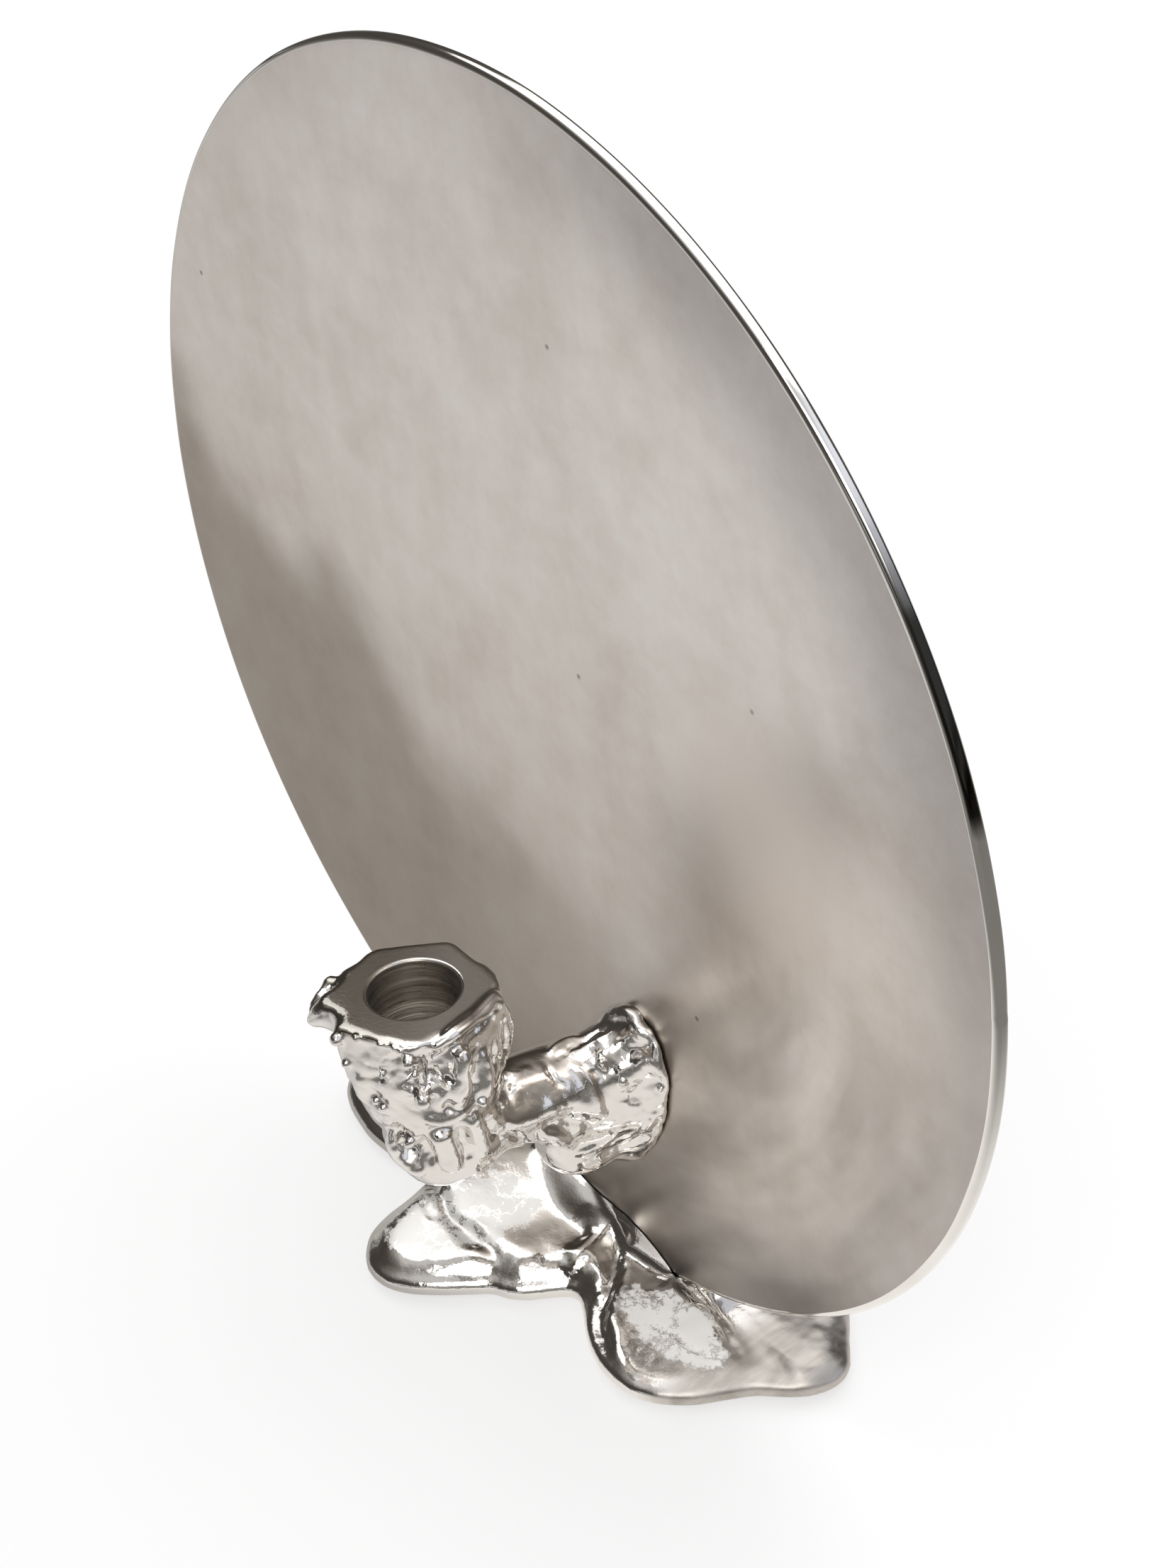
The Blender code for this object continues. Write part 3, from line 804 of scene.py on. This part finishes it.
def make_base(material):
    """The puddle with the spine behind the disc, its flowed skin, its slot and its screw holes."""
    base = puddle_object()
    spine = link(bpy.data.objects.new("spine", bpy.data.meshes.new("spine")))
    with_blobs(spine, [(np.array(centre) * MM, np.array(half) * MM) for centre, half in SPINE])
    remeshed(spine, 1.0 * MM, 1)
    carve(spine, rod("front", 300 * MM, -300 * MM, 0.5 * MM, 0, 0))
    joined(base, spine.data)
    bpy.data.objects.remove(spine)
    remeshed(base, 0.9 * MM, 4)
    find = surface_finder(base.data)
    p, n = points_and_normals(base.data)
    # The underside and the rounded rim keep their shape
    free = smoothstep(4.0 * MM, 7.0 * MM, p[:, 2] - BASE_LOW)
    rise = 0.30 * MM * rough(p, 0.028, 2, 1) + 0.09 * MM * rough(p, 0.007, 3, 3, 0.45)
    rise += 0.11 * MM * smoothstep(0.0, 0.45, noise(p, 0.012, 41)) * (creased(p, 0.0028, 2, 43) - 0.3)
    crystal = spot(p, find, (950, 1855), 11 * MM) + 0.8 * spot(p, find, (900, 1925), 7 * MM)
    rise += 0.26 * MM * np.clip(crystal, 0, 1) * (creased(p, 0.0085, 3, 21, 0.5) - 0.4)
    behind = smoothstep(3 * MM, 8 * MM, p[:, 1])
    rise += behind * 0.9 * MM * (creased(p, 0.016, 3, 7) - 0.3)
    uneven = warped(warped(p, 0.9 * MM, 5.0 * MM, 50), 0.5 * MM, 1.8 * MM, 54)
    for height, width, pixels in BASE_STROKES:
        rise += stroke(uneven, find, pixels, height * MM, width * MM)
    set_points(base.data, p + n * (free * rise)[:, None])
    tools = [rod("slot", DISC_RADIUS + SLOT_PLAY, disc_low.y - SLOT_PLAY, disc_high.y + SLOT_PLAY,
                 DISC_CENTRE.x, DISC_CENTRE.z, DISC_SIDES)]
    for side, (low, _, _) in SEATS.items():
        tools.append(screw_rod(side, SEAT_RADIUS, low.y - 0.3 * MM, 60 * MM))
        tools.append(screw_rod(side, SCREW_HOLE, -10 * MM, 20 * MM))
    carve(base, *tools)
    return painted(base, material)


# Plan of the cup's top about its axis, and the width and fall of the bevel there, in millimetres
CUP_OUTLINE = (
    (-0.7, -22.0, 2.2, 0.7), (5.0, -19.3, 1.2, 0.5), (9.4, -16.5, 1.0, 0.4), (15.3, -14.0, 0.9, 0.4),
    (18.5, -10.5, 0.8, 0.7), (19.3, -5.9, 1.6, 1.8), (18.0, 2.8, 2.4, 2.9), (16.2, 12.7, 2.0, 3.0),
    (11.9, 16.9, 0.9, 1.0), (8.6, 18.0, 0.8, 0.7), (3.7, 18.6, 0.8, 0.6), (-2.8, 16.6, 0.8, 0.6),
    (-10.0, 12.4, 0.8, 0.6), (-14.0, 8.0, 0.8, 0.6), (-17.0, 3.5, 0.8, 0.6), (-18.4, -1.5, 1.0, 0.6),
    (-18.2, -8.5, 1.8, 0.7), (-15.5, -11.5, 2.3, 0.8), (-10.5, -14.2, 2.4, 0.8), (-4.7, -19.0, 2.4, 0.8),
)
# Beads on the cup and the arm: pixel, radius in millimetres
BEADS = (
    ((477, 1465), 1.6), ((503, 1463), 1.0), ((536, 1472), 0.9), ((545, 1474), 0.8), ((556, 1477), 0.9),
    ((566, 1482), 0.8), ((538, 1515), 1.4), ((576, 1496), 1.9), ((590, 1500), 1.3), ((586, 1513), 1.4),
    ((575, 1524), 1.1), ((588, 1530), 0.9), ((597, 1546), 2.6), ((629, 1530), 1.1),
    ((681, 1553), 1.3), ((576, 1605), 1.9), ((568, 1597), 0.9), ((586, 1612), 0.9), ((530, 1552), 0.9),
    ((541, 1562), 0.8), ((489, 1500), 1.2), ((848, 1499), 0.8), ((854, 1508), 0.7), ((878, 1526), 0.9),
    ((846, 1633), 1.0), ((931, 1536), 0.9),
)
# Rounded folds on the cup and the arm: radius and sink in millimetres, pixels along it
FOLDS = (
    # Cup: three lobes down its right side, the tear in the hollow, and the apron's lower edge
    (3.3, 2.0, ((652, 1484), (651, 1515), (646, 1552))),
    (2.2, 1.1, ((680, 1488), (686, 1518), (684, 1546))),
    (2.2, 1.2, ((704, 1412), (711, 1448), (713, 1478), (706, 1502))),
    (1.3, 0.5, ((634, 1526), (626, 1540), (620, 1556), (624, 1572))),
    (2.0, 1.1, ((615, 1478), (645, 1456), (675, 1432), (699, 1404))),
    (2.4, 1.6, ((606, 1580), (634, 1574), (662, 1560))),
    (2.4, 1.5, ((505, 1520), (520, 1545), (540, 1566))),
    # Cup: the narrower body below
    (3.2, 1.9, ((556, 1600), (566, 1625), (590, 1648))),
    (3.4, 2.2, ((622, 1600), (630, 1625), (640, 1645))),
    (2.8, 1.7, ((668, 1574), (674, 1598), (682, 1622))),
    # Neck
    (2.2, 1.6, ((765, 1596), (785, 1603), (806, 1616))),
    # Flare: two low curls behind its crest, the edge of the fold, and small wrinkles
    (2.2, 2.1, ((778, 1487), (786, 1476), (800, 1467), (814, 1463))),
    (2.6, 2.6, ((848, 1442), (860, 1433), (878, 1428), (894, 1430))),
    (1.0, 0.75, ((808, 1502), (822, 1510), (834, 1527), (844, 1552), (847, 1566))),
    (1.1, 0.7, ((806, 1628), (830, 1621), (849, 1613), (868, 1602))),
    (1.1, 0.7, ((909, 1594), (920, 1580), (928, 1572))),
)
# Ridges and creases of the cup and the arm: height and width in millimetres, pixels along it
ARM_STROKES = (
    # Cup: the thin lip under its top's front edge, and the hollows down its side
    (0.6, 0.8, ((468, 1452), (495, 1454), (521, 1457), (548, 1464), (576, 1482))),
    (-1.8, 2.6, ((548, 1488), (560, 1500), (566, 1520), (574, 1540))),
    (-3.6, 3.0, ((602, 1490), (611, 1510), (615, 1534))),
    (-1.4, 2.2, ((532, 1506), (536, 1520), (544, 1528))),
    (-1.6, 1.6, ((574, 1510), (582, 1528), (580, 1545))),
    (-1.0, 1.0, ((700, 1420), (674, 1455), (650, 1476), (628, 1494), (622, 1510))),
    (-1.3, 0.9, ((672, 1478), (668, 1505), (669, 1530), (664, 1550))),
    (-0.9, 1.1, ((694, 1470), (696, 1500), (698, 1530))),
    (-1.3, 1.6, ((602, 1596), (626, 1592), (652, 1580), (678, 1568))),
    (-2.0, 2.2, ((574, 1592), (562, 1604), (574, 1622), (592, 1616))),
    (-1.4, 1.8, ((694, 1572), (690, 1590), (702, 1606))),
    (-1.2, 1.4, ((648, 1590), (654, 1612), (660, 1640))),
    (-1.0, 1.2, ((594, 1600), (604, 1622), (612, 1645))),
    # Neck
    (0.9, 3.2, ((704, 1578), (735, 1581), (765, 1576), (798, 1556))),
    (0.7, 3.0, ((716, 1530), (745, 1522), (775, 1512))),
    (-0.9, 1.6, ((716, 1512), (712, 1535), (700, 1556))),
    (-0.4, 0.7, ((771, 1508), (782, 1522), (798, 1535))),
    (-1.3, 2.8, ((757, 1596), (790, 1582), (820, 1584), (848, 1588))),
    (-0.8, 1.2, ((700, 1600), (730, 1604), (760, 1620))),
    # Flare: two broad bands with a fold between them, and the hollow with the beads
    (1.1, 5.0, ((834, 1482), (866, 1466), (898, 1450), (920, 1446))),
    (0.8, 3.4, ((872, 1524), (902, 1508), (936, 1494))),
    (-0.6, 1.6, ((836, 1504), (848, 1514), (862, 1506), (870, 1500))),
    (-0.5, 1.0, ((784, 1496), (807, 1478), (838, 1462), (868, 1448))),
    (-0.8, 2.2, ((878, 1490), (901, 1478), (932, 1468))),
    (1.2, 3.6, ((900, 1436), (926, 1458), (938, 1492), (940, 1524))),
    (-1.1, 3.6, ((887, 1560), (908, 1537), (934, 1516))),
    (-1.2, 1.6, ((840, 1634), (880, 1618), (912, 1600))),
)
# Zones of fine crumpling on the cup and the arm: pixel, size and height in millimetres
CRUMPLED = (
    ((850, 1614), 5.0, 0.45), ((785, 1624), 4.5, 0.45), ((926, 1572), 3.5, 0.5), ((580, 1505), 3.5, 0.5),
    ((585, 1600), 4, 0.4), ((690, 1595), 5, 0.5), ((535, 1575), 4, 0.4), ((650, 1470), 5, 0.3),
)
# The flare's wrinkled lower part, and the smooth places on its upper part and on the neck
LOW_FLARE = (((880, 1575), 13), ((790, 1600), 8))
SMOOTH = (((885, 1470), 14), ((770, 1535), 9))
# The drip at the cup's front corner: pixel, depth below the top and radius in millimetres
DRIP = (
    ((467, 1388), 2.6, 2.1), ((460, 1398), 3.4, 1.7), ((453, 1408), 4.2, 1.9), ((445, 1417), 5.0, 1.6),
    ((438, 1427), 5.8, 0.9),
)
MOUTH_LIP = 0.8 * MM        # radius of the bore's rounded mouth


def bevelled_prism(outline, low, high, taper):
    """A closed prism about the cup's axis whose top edge is bevelled by the outline's amounts."""
    bm = bmesh.new()
    rings = [[], [], []]
    for x, y, width, fall in outline:
        inner = 1 - width / math.hypot(x, y)
        for ring, share, z in zip(rings, (taper, 1.0, inner), (low, high - fall * MM, high)):
            ring.append(bm.verts.new((CUP_AXIS.x + x * share * MM, CUP_AXIS.y + y * share * MM, z)))
    bm.faces.new(rings[2])
    bm.faces.new(list(reversed(rings[0])))
    for below, above in zip(rings, rings[1:]):
        for k in range(len(outline)):
            after = (k + 1) % len(outline)
            bm.faces.new((below[k], below[after], above[after], above[k]))
    return mesh_from(bm, "cup_rim")


def bore_cutter():
    """The candle bore: a rounded mouth and a wall with uneven turned rings."""
    profile = [(0, 2 * MM), (BORE_RADIUS + MOUTH_LIP, 2 * MM)]
    for turn in np.linspace(0, math.pi / 2, 7):
        profile.append((BORE_RADIUS + MOUTH_LIP * (1 - math.sin(turn)), -MOUTH_LIP * (1 - math.cos(turn))))
    depth = np.linspace(1.2 * MM, BORE_DEPTH, 80)
    key = np.stack([depth, depth * 0.3, depth * 0.7], 1)
    wave = 0.20 * MM * noise(key, 1.9 * MM, 4) + 0.22 * MM * noise(key, 4.3 * MM, 9)
    profile += [(BORE_RADIUS + out, -z) for z, out in zip(depth, wave)]
    profile.append((0, -BORE_DEPTH))
    return lathe("bore", profile, (CUP_AXIS.x, CUP_AXIS.y, CUP_TOP), "Z", 120)


def arm_with_lumps():
    """The arm with the cup's outline, folds, drip and beads melted on, and its surface finder."""
    arm = link(bpy.data.objects.new("arm_cast", cad_mesh("candle_arm")))
    joined(arm, bevelled_prism(CUP_OUTLINE, CUP_TOP - 17 * MM, CUP_TOP, 0.93))
    remeshed(arm, 0.8 * MM, 3)
    find = surface_finder(arm.data)
    lumps = []
    for radius, sink, pixels in FOLDS:
        lumps += fold(find, pixels, radius, sink)
    for pixel, depth, radius in DRIP:
        lumps.append((on_level(pixel, CUP_TOP - depth * MM), (radius * MM,) * 3))
    with_blobs(arm, lumps)
    remeshed(arm, 0.6 * MM, 3)
    find = surface_finder(arm.data)
    beads = []
    for pixel, radius in BEADS:
        place, normal = find(pixel)
        beads.append((place + normal * radius * 0.3 * MM, (radius * MM,) * 3))
    with_blobs(arm, beads)
    return remeshed(arm, 0.45 * MM, 3), find


def make_arm(material, bore):
    """Cup, arm and flare in one skin, with the crumpled relief, the bore and the screw holes."""
    arm, find = arm_with_lumps()
    p, n = points_and_normals(arm.data)

    def places(spots):
        return np.clip(sum(spot(p, find, pixel, size * MM) for pixel, size in spots), 0, 1)

    off_axis = np.hypot(p[:, 0] - CUP_AXIS.x, p[:, 1] - CUP_AXIS.y)
    # The top's bevels, the bore's surroundings and the face against the disc stay plain
    on_top = smoothstep(0.80, 0.95, n[:, 2]) * smoothstep(-3.2 * MM, -2.4 * MM, p[:, 2] - CUP_TOP)
    free = (1 - on_top) * smoothstep(0.1 * MM, 1.2 * MM, CUP_TOP - p[:, 2])
    free *= smoothstep(4 * MM, 13.0 * MM, off_axis)
    free *= smoothstep(0.4 * MM, 2.5 * MM, disc_low.y - p[:, 1])
    on_cup = smoothstep(27 * MM, 19 * MM, off_axis)
    rise = 0.30 * MM * rough(p, 0.014, 2, 2)
    rise += on_cup * (0.65 * MM * (creased(p, 0.010, 2, 8) - 0.35) + 0.65 * MM * noise(p, 0.0075, 12))
    wrinkled = 0.55 * MM * (creased(p, 0.009, 2, 14) - 0.35) + 0.60 * MM * noise(p, 0.008, 16)
    rise += places(LOW_FLARE) * wrinkled
    rise *= 1 - 0.7 * places(SMOOTH)
    crumple = creased(p, 0.0042, 2, 31, 0.5) - 0.35
    for pixel, size, height in CRUMPLED:
        rise += height * MM * spot(p, find, pixel, size * MM) * crumple
    uneven = warped(p, 0.5 * MM, 2.2 * MM, 60)
    for height, width, pixels in ARM_STROKES:
        rise += stroke(uneven, find, pixels, height * MM, width * MM)
    set_points(arm.data, p + n * (free * rise)[:, None])
    carve(arm, bore_cutter(), *(screw_rod(side, SCREW_HOLE, disc_low.y - 11 * MM, 0.0) for side in SEATS))
    painted(arm, material, bore)
    x, y, z = rows_of(arm.data.polygons, "center").T
    bored = np.hypot(x - CUP_AXIS.x, y - CUP_AXIS.y) < BORE_RADIUS + 0.45 * MM
    bored &= z > CUP_TOP - BORE_DEPTH - 0.2 * MM
    arm.data.polygons.foreach_set("material_index", bored.astype(np.int32))
    return arm


def make_screw(name, material):
    """A cap screw with a knurled head and a hexagonal key hole, at the CAD node's place."""
    low, high, middle = node_box(name)
    head, shank, edge = (high.x - low.x) / 2, 2.45 * MM, 0.35 * MM
    top, under = high.y, high.y - 5.0 * MM
    profile = [(0, top), (head - 1.2 * edge, top), (head - 0.35 * edge, top - 0.3 * edge), (head, top - edge),
               (head, under + edge), (head - edge, under), (shank, under)]
    turns, thread_start, thread_end = 16, under - 6 * MM, low.y + 0.6 * MM
    pitch = (thread_start - thread_end) / turns
    for k in range(turns):
        start = thread_start - k * pitch
        profile += [(shank, start), (shank - 0.3 * MM, start - pitch / 2)]
    profile += [(shank, thread_end), (shank - 0.5 * MM, low.y), (0, low.y)]
    place = (middle.x, 0, middle.z)
    screw = lathe(name + "_turned", profile, place, "Y", 144, knurl=head * 0.93, teeth=36)
    key, above = 2.3 * MM, top + 1 * MM
    hole = [(0, top - 2.8 * MM), (key, top - 2.5 * MM), (key, above), (0, above)]
    carve(screw, lathe(name + "_key", hole, place, "Y", 6))
    # The carving leaves an empty first slot, and the faces use that one, not this
    screw.data.materials.append(material)
    return screw


def make_washer(name, material):
    low, high, middle = node_box(name)
    outer, hole, edge = (high.x - low.x) / 2, SCREW_HOLE, 0.15 * MM
    profile = [(hole + edge, high.y), (outer - edge, high.y), (outer, high.y - edge), (outer, low.y + edge),
               (outer - edge, low.y), (hole + edge, low.y), (hole, low.y + edge), (hole, high.y - edge)]
    washer = lathe(name + "_turned", profile, (middle.x, 0, middle.z), "Y", ring=True)
    washer.data.shade_smooth()
    washer.data.set_sharp_from_angle(angle=math.radians(30))
    return painted(washer, material)


def make_pad(name, material):
    """A felt disc with a soft, slightly uneven edge."""
    low, high, middle = node_box(name)
    radius, thick = (high.x - low.x) / 2, high.z - low.z
    shares = [radius * k / 8 for k in range(8)]
    profile = [(reach, high.z) for reach in shares]
    for turn in np.linspace(0, math.pi, 7):
        reach = radius - 0.25 * thick * (1 - math.sin(turn))
        profile.append((reach, middle.z + thick / 2 * math.cos(turn)))
    profile += [(reach, low.z) for reach in reversed(shares)]
    pad = lathe(name + "_felt", profile, (middle.x, middle.y, 0), "Z", 128)
    p, n = points_and_normals(pad.data)
    inside = smoothstep(0, 0.2 * thick, np.minimum(p[:, 2] - low.z, high.z - p[:, 2]))
    set_points(pad.data, p + n * (inside * 0.06 * MM * noise(p, 1.1 * MM, 6))[:, None])
    pad.data.shade_smooth()
    return painted(pad, material)


# Studio

# The cards' colours from below to above
DUSK = ((0.0, (0.042, 0.038, 0.034)), (0.5, (0.03, 0.027, 0.024)), (1.0, (0.20, 0.20, 0.195)))
DARK = ((0.0, (0.084, 0.077, 0.069)), (0.35, (0.060, 0.054, 0.048)), (0.68, (0.084, 0.075, 0.066)),
        (0.86, (0.26, 0.25, 0.23)), (1.0, (0.62, 0.61, 0.60)))
PAPER = ((0.0, (0.06, 0.056, 0.05)), (0.20, (0.34, 0.33, 0.31)), (0.6, (0.70, 0.68, 0.65)), (1.0, 0.66))
WINDOW = ((0.0, (0.10, 0.105, 0.12)), (0.12, (0.80, 0.85, 0.98)), (0.85, (0.90, 0.94, 1.04)), (1.0, 0.66))
# Cards that only the metal shows: name, lower and upper angle over the floor, start and end
# round the object in degrees, radius in metres, colours
CARDS = (
    ("card_low", 0.3, 3.6, 0, 360, 2.6, DUSK),
    ("card_belt", 5, 58, 62, 272, 2.5, DARK),
    ("card_room", 14, 62, 268, 302, 2.4, DARK),
    ("card_front", 6, 62, 306, 346, 2.35, PAPER),
    ("card_window", 8, 60, 352, 422, 2.3, WINDOW),
)
CARD_ROWS, CARD_STEPS = 8, 48
# Lamps: name, place and target in metres, size, power, colour
LAMPS = (
    ("softbox_top", (-0.55, 0.55, 1.5), (-0.55, 0.55, 0), (2.4, 2.1), 17.8, (0.99, 0.995, 1.0)),
    ("softbox_side", (0.9, -0.9, 1.3), (0, 0, 0.1), (0.8, 0.8), 7, (1, 1, 1)),
)
WORLD_LEVEL = 0.66          # of the white world, apart from what the camera sees of it
FLOOR_SIZE = 14.0


def floor_material():
    """White paper. The metal shows it darker further out and in the disc's soft shadow."""
    m = Nodes("floor_white")
    m.surface(Base_Color=(0.93, 0.93, 0.93), Roughness=0.9, Specular_IOR_Level=0.0)
    x, y, _ = m.axes()
    reach = m.distance()
    left = m.mix(m.fade(reach, 0.5, 1.6), (0.67, 0.66, 0.65), (0.12, 0.11, 0.10))
    front = m.mix(m.fade(reach, 0.10, 0.36), (1.0, 0.975, 0.94), (0.08, 0.07, 0.055))
    mirrored = m.mix(m.fade(x, -0.12, 0.03), left, front)
    # The shadow lies along the disc, in front of its left half
    edge = m.math("ADD", m.math("MULTIPLY", x, -0.225), 0.062)
    wavy = m.math("MULTIPLY", m.math("ADD", m.noise(14, 3), -0.5), 0.05)
    shadow = m.math("MULTIPLY", m.fade(m.math("ADD", y, edge, wavy), -0.036, 0.006),
                    m.fade(y, 0.0, 0.03, 1.0, 0.0), m.fade(x, -0.03, 0.03, 1.0, 0.0))
    mirrored = m.mix(shadow, mirrored, (0.43, 0.415, 0.39))
    rays = m.node("LightPath").node.outputs
    camera = rays["Is Camera Ray"]
    direct = m.math("MAXIMUM", camera, rays["Is Glossy Ray"], rays["Is Transmission Ray"])
    white = m.node("Emission", {"Color": m.mix(camera, mirrored, (1, 1, 1))})
    # Seen directly, the paper melts into the white backdrop further out
    melt = m.math("MULTIPLY", m.fade(reach, 0.35, 1.3, 0.6, 1.0), camera)
    metal = m.math("MULTIPLY", m.math("SUBTRACT", direct, camera), 0.85)
    mixed = m.node("MixShader", {"Fac": m.math("ADD", melt, metal), 1: m.shader.outputs["BSDF"], 2: white})
    m.feed(m.tree.nodes["Material Output"].inputs["Surface"], mixed)
    return m.material


def make_floor():
    bm = bmesh.new()
    bmesh.ops.create_grid(bm, x_segments=4, y_segments=4, size=FLOOR_SIZE)
    floor = link(bpy.data.objects.new("floor", mesh_from(bm, "floor")))
    painted(floor, floor_material())


def make_card(name, low_angle, high_angle, start, end, radius, stops):
    """A card that curves round the object, seen only in the metal."""
    verts, faces = [], []
    for rise in np.radians(np.linspace(low_angle, high_angle, CARD_ROWS + 1)):
        for turn in np.radians(np.linspace(start, end, CARD_STEPS + 1)):
            verts.append((radius * math.cos(rise) * math.cos(turn),
                          radius * math.cos(rise) * math.sin(turn), radius * math.sin(rise)))
    for row in range(CARD_ROWS):
        for step in range(CARD_STEPS):
            a = row * (CARD_STEPS + 1) + step
            faces.append((a, a + 1, a + CARD_STEPS + 2, a + CARD_STEPS + 1))
    mesh = bpy.data.meshes.new(name)
    mesh.from_pydata(verts, [], faces)
    card = link(bpy.data.objects.new(name, mesh))
    m = Nodes(name)
    rising = m.fade(m.axes()[2], verts[0][2], verts[-1][2], kind="LINEAR")
    painted(card, m.surface(Base_Color=(0, 0, 0), Specular_IOR_Level=0, Emission_Strength=1.0,
                            Emission_Color=m.ramp(rising, *stops)))
    for rays in ("camera", "diffuse", "shadow", "transmission"):
        setattr(card, "visible_" + rays, False)


def make_area(name, place, target, size, power, colour):
    lamp = bpy.data.lights.new(name, "AREA")
    lamp.shape = "RECTANGLE"
    lamp.size, lamp.size_y = size
    lamp.energy = power
    lamp.color = colour
    obj = link(bpy.data.objects.new(name, lamp))
    obj.location = place
    aim = Vector(target) - Vector(place)
    obj.rotation_euler = aim.to_track_quat("-Z", "Y").to_euler()
    obj.visible_camera = False


def make_world():
    world = bpy.data.worlds.new("studio")
    bpy.context.scene.world = world
    world.use_nodes = True
    tree = world.node_tree
    back = tree.nodes["Background"]
    back.inputs["Color"].default_value = (1, 1, 1, 1)
    path = tree.nodes.new("ShaderNodeLightPath")
    level = tree.nodes.new("ShaderNodeMapRange")
    level.inputs["To Min"].default_value = WORLD_LEVEL
    level.inputs["To Max"].default_value = 1.0
    tree.links.new(path.outputs["Is Camera Ray"], level.inputs["Value"])
    tree.links.new(level.outputs["Result"], back.inputs["Strength"])


def make_camera():
    right, up, forward = camera_axes()
    turn = Matrix((right, up, -forward)).transposed().to_4x4()
    turn.translation = CAMERA_PLACE
    lens = bpy.data.cameras.new("camera")
    lens.sensor_fit = "VERTICAL"
    lens.sensor_height = 36
    lens.lens = FOCAL_PIXELS / PHOTO_HEIGHT * lens.sensor_height
    lens.clip_end = 30
    camera = link(bpy.data.objects.new("camera", lens))
    camera.matrix_world = turn
    bpy.context.scene.camera = camera


def main():
    steel, felt = steel_material(), felt_material()
    dressed = [
        (make_disc(satin_material(), edge_material()), "reflector_disc", "satin_nickel"),
        (make_base(base_material()), "base_casting", "polished_nickel"),
        (make_arm(arm_material(), bore_material()), "candle_arm", "polished_nickel"),
    ]
    for side in SEATS:
        dressed.append((make_screw("arm_screw_" + side, steel), "arm_screw_" + side, "screw_steel"))
        dressed.append((make_washer("arm_washer_" + side, steel), "arm_washer_" + side, "screw_steel"))
    for place in PADS:
        dressed.append((make_pad("felt_pad_" + place, felt), "felt_pad_" + place, "black_felt"))
    for piece, node, slot in dressed:
        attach(piece, "root")
        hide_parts(node)
    make_floor()
    make_world()
    for card in CARDS:
        make_card(*card)
    for lamp in LAMPS:
        make_area(*lamp)
    make_camera()
    bpy.context.scene.view_settings.view_transform = "Standard"


main()
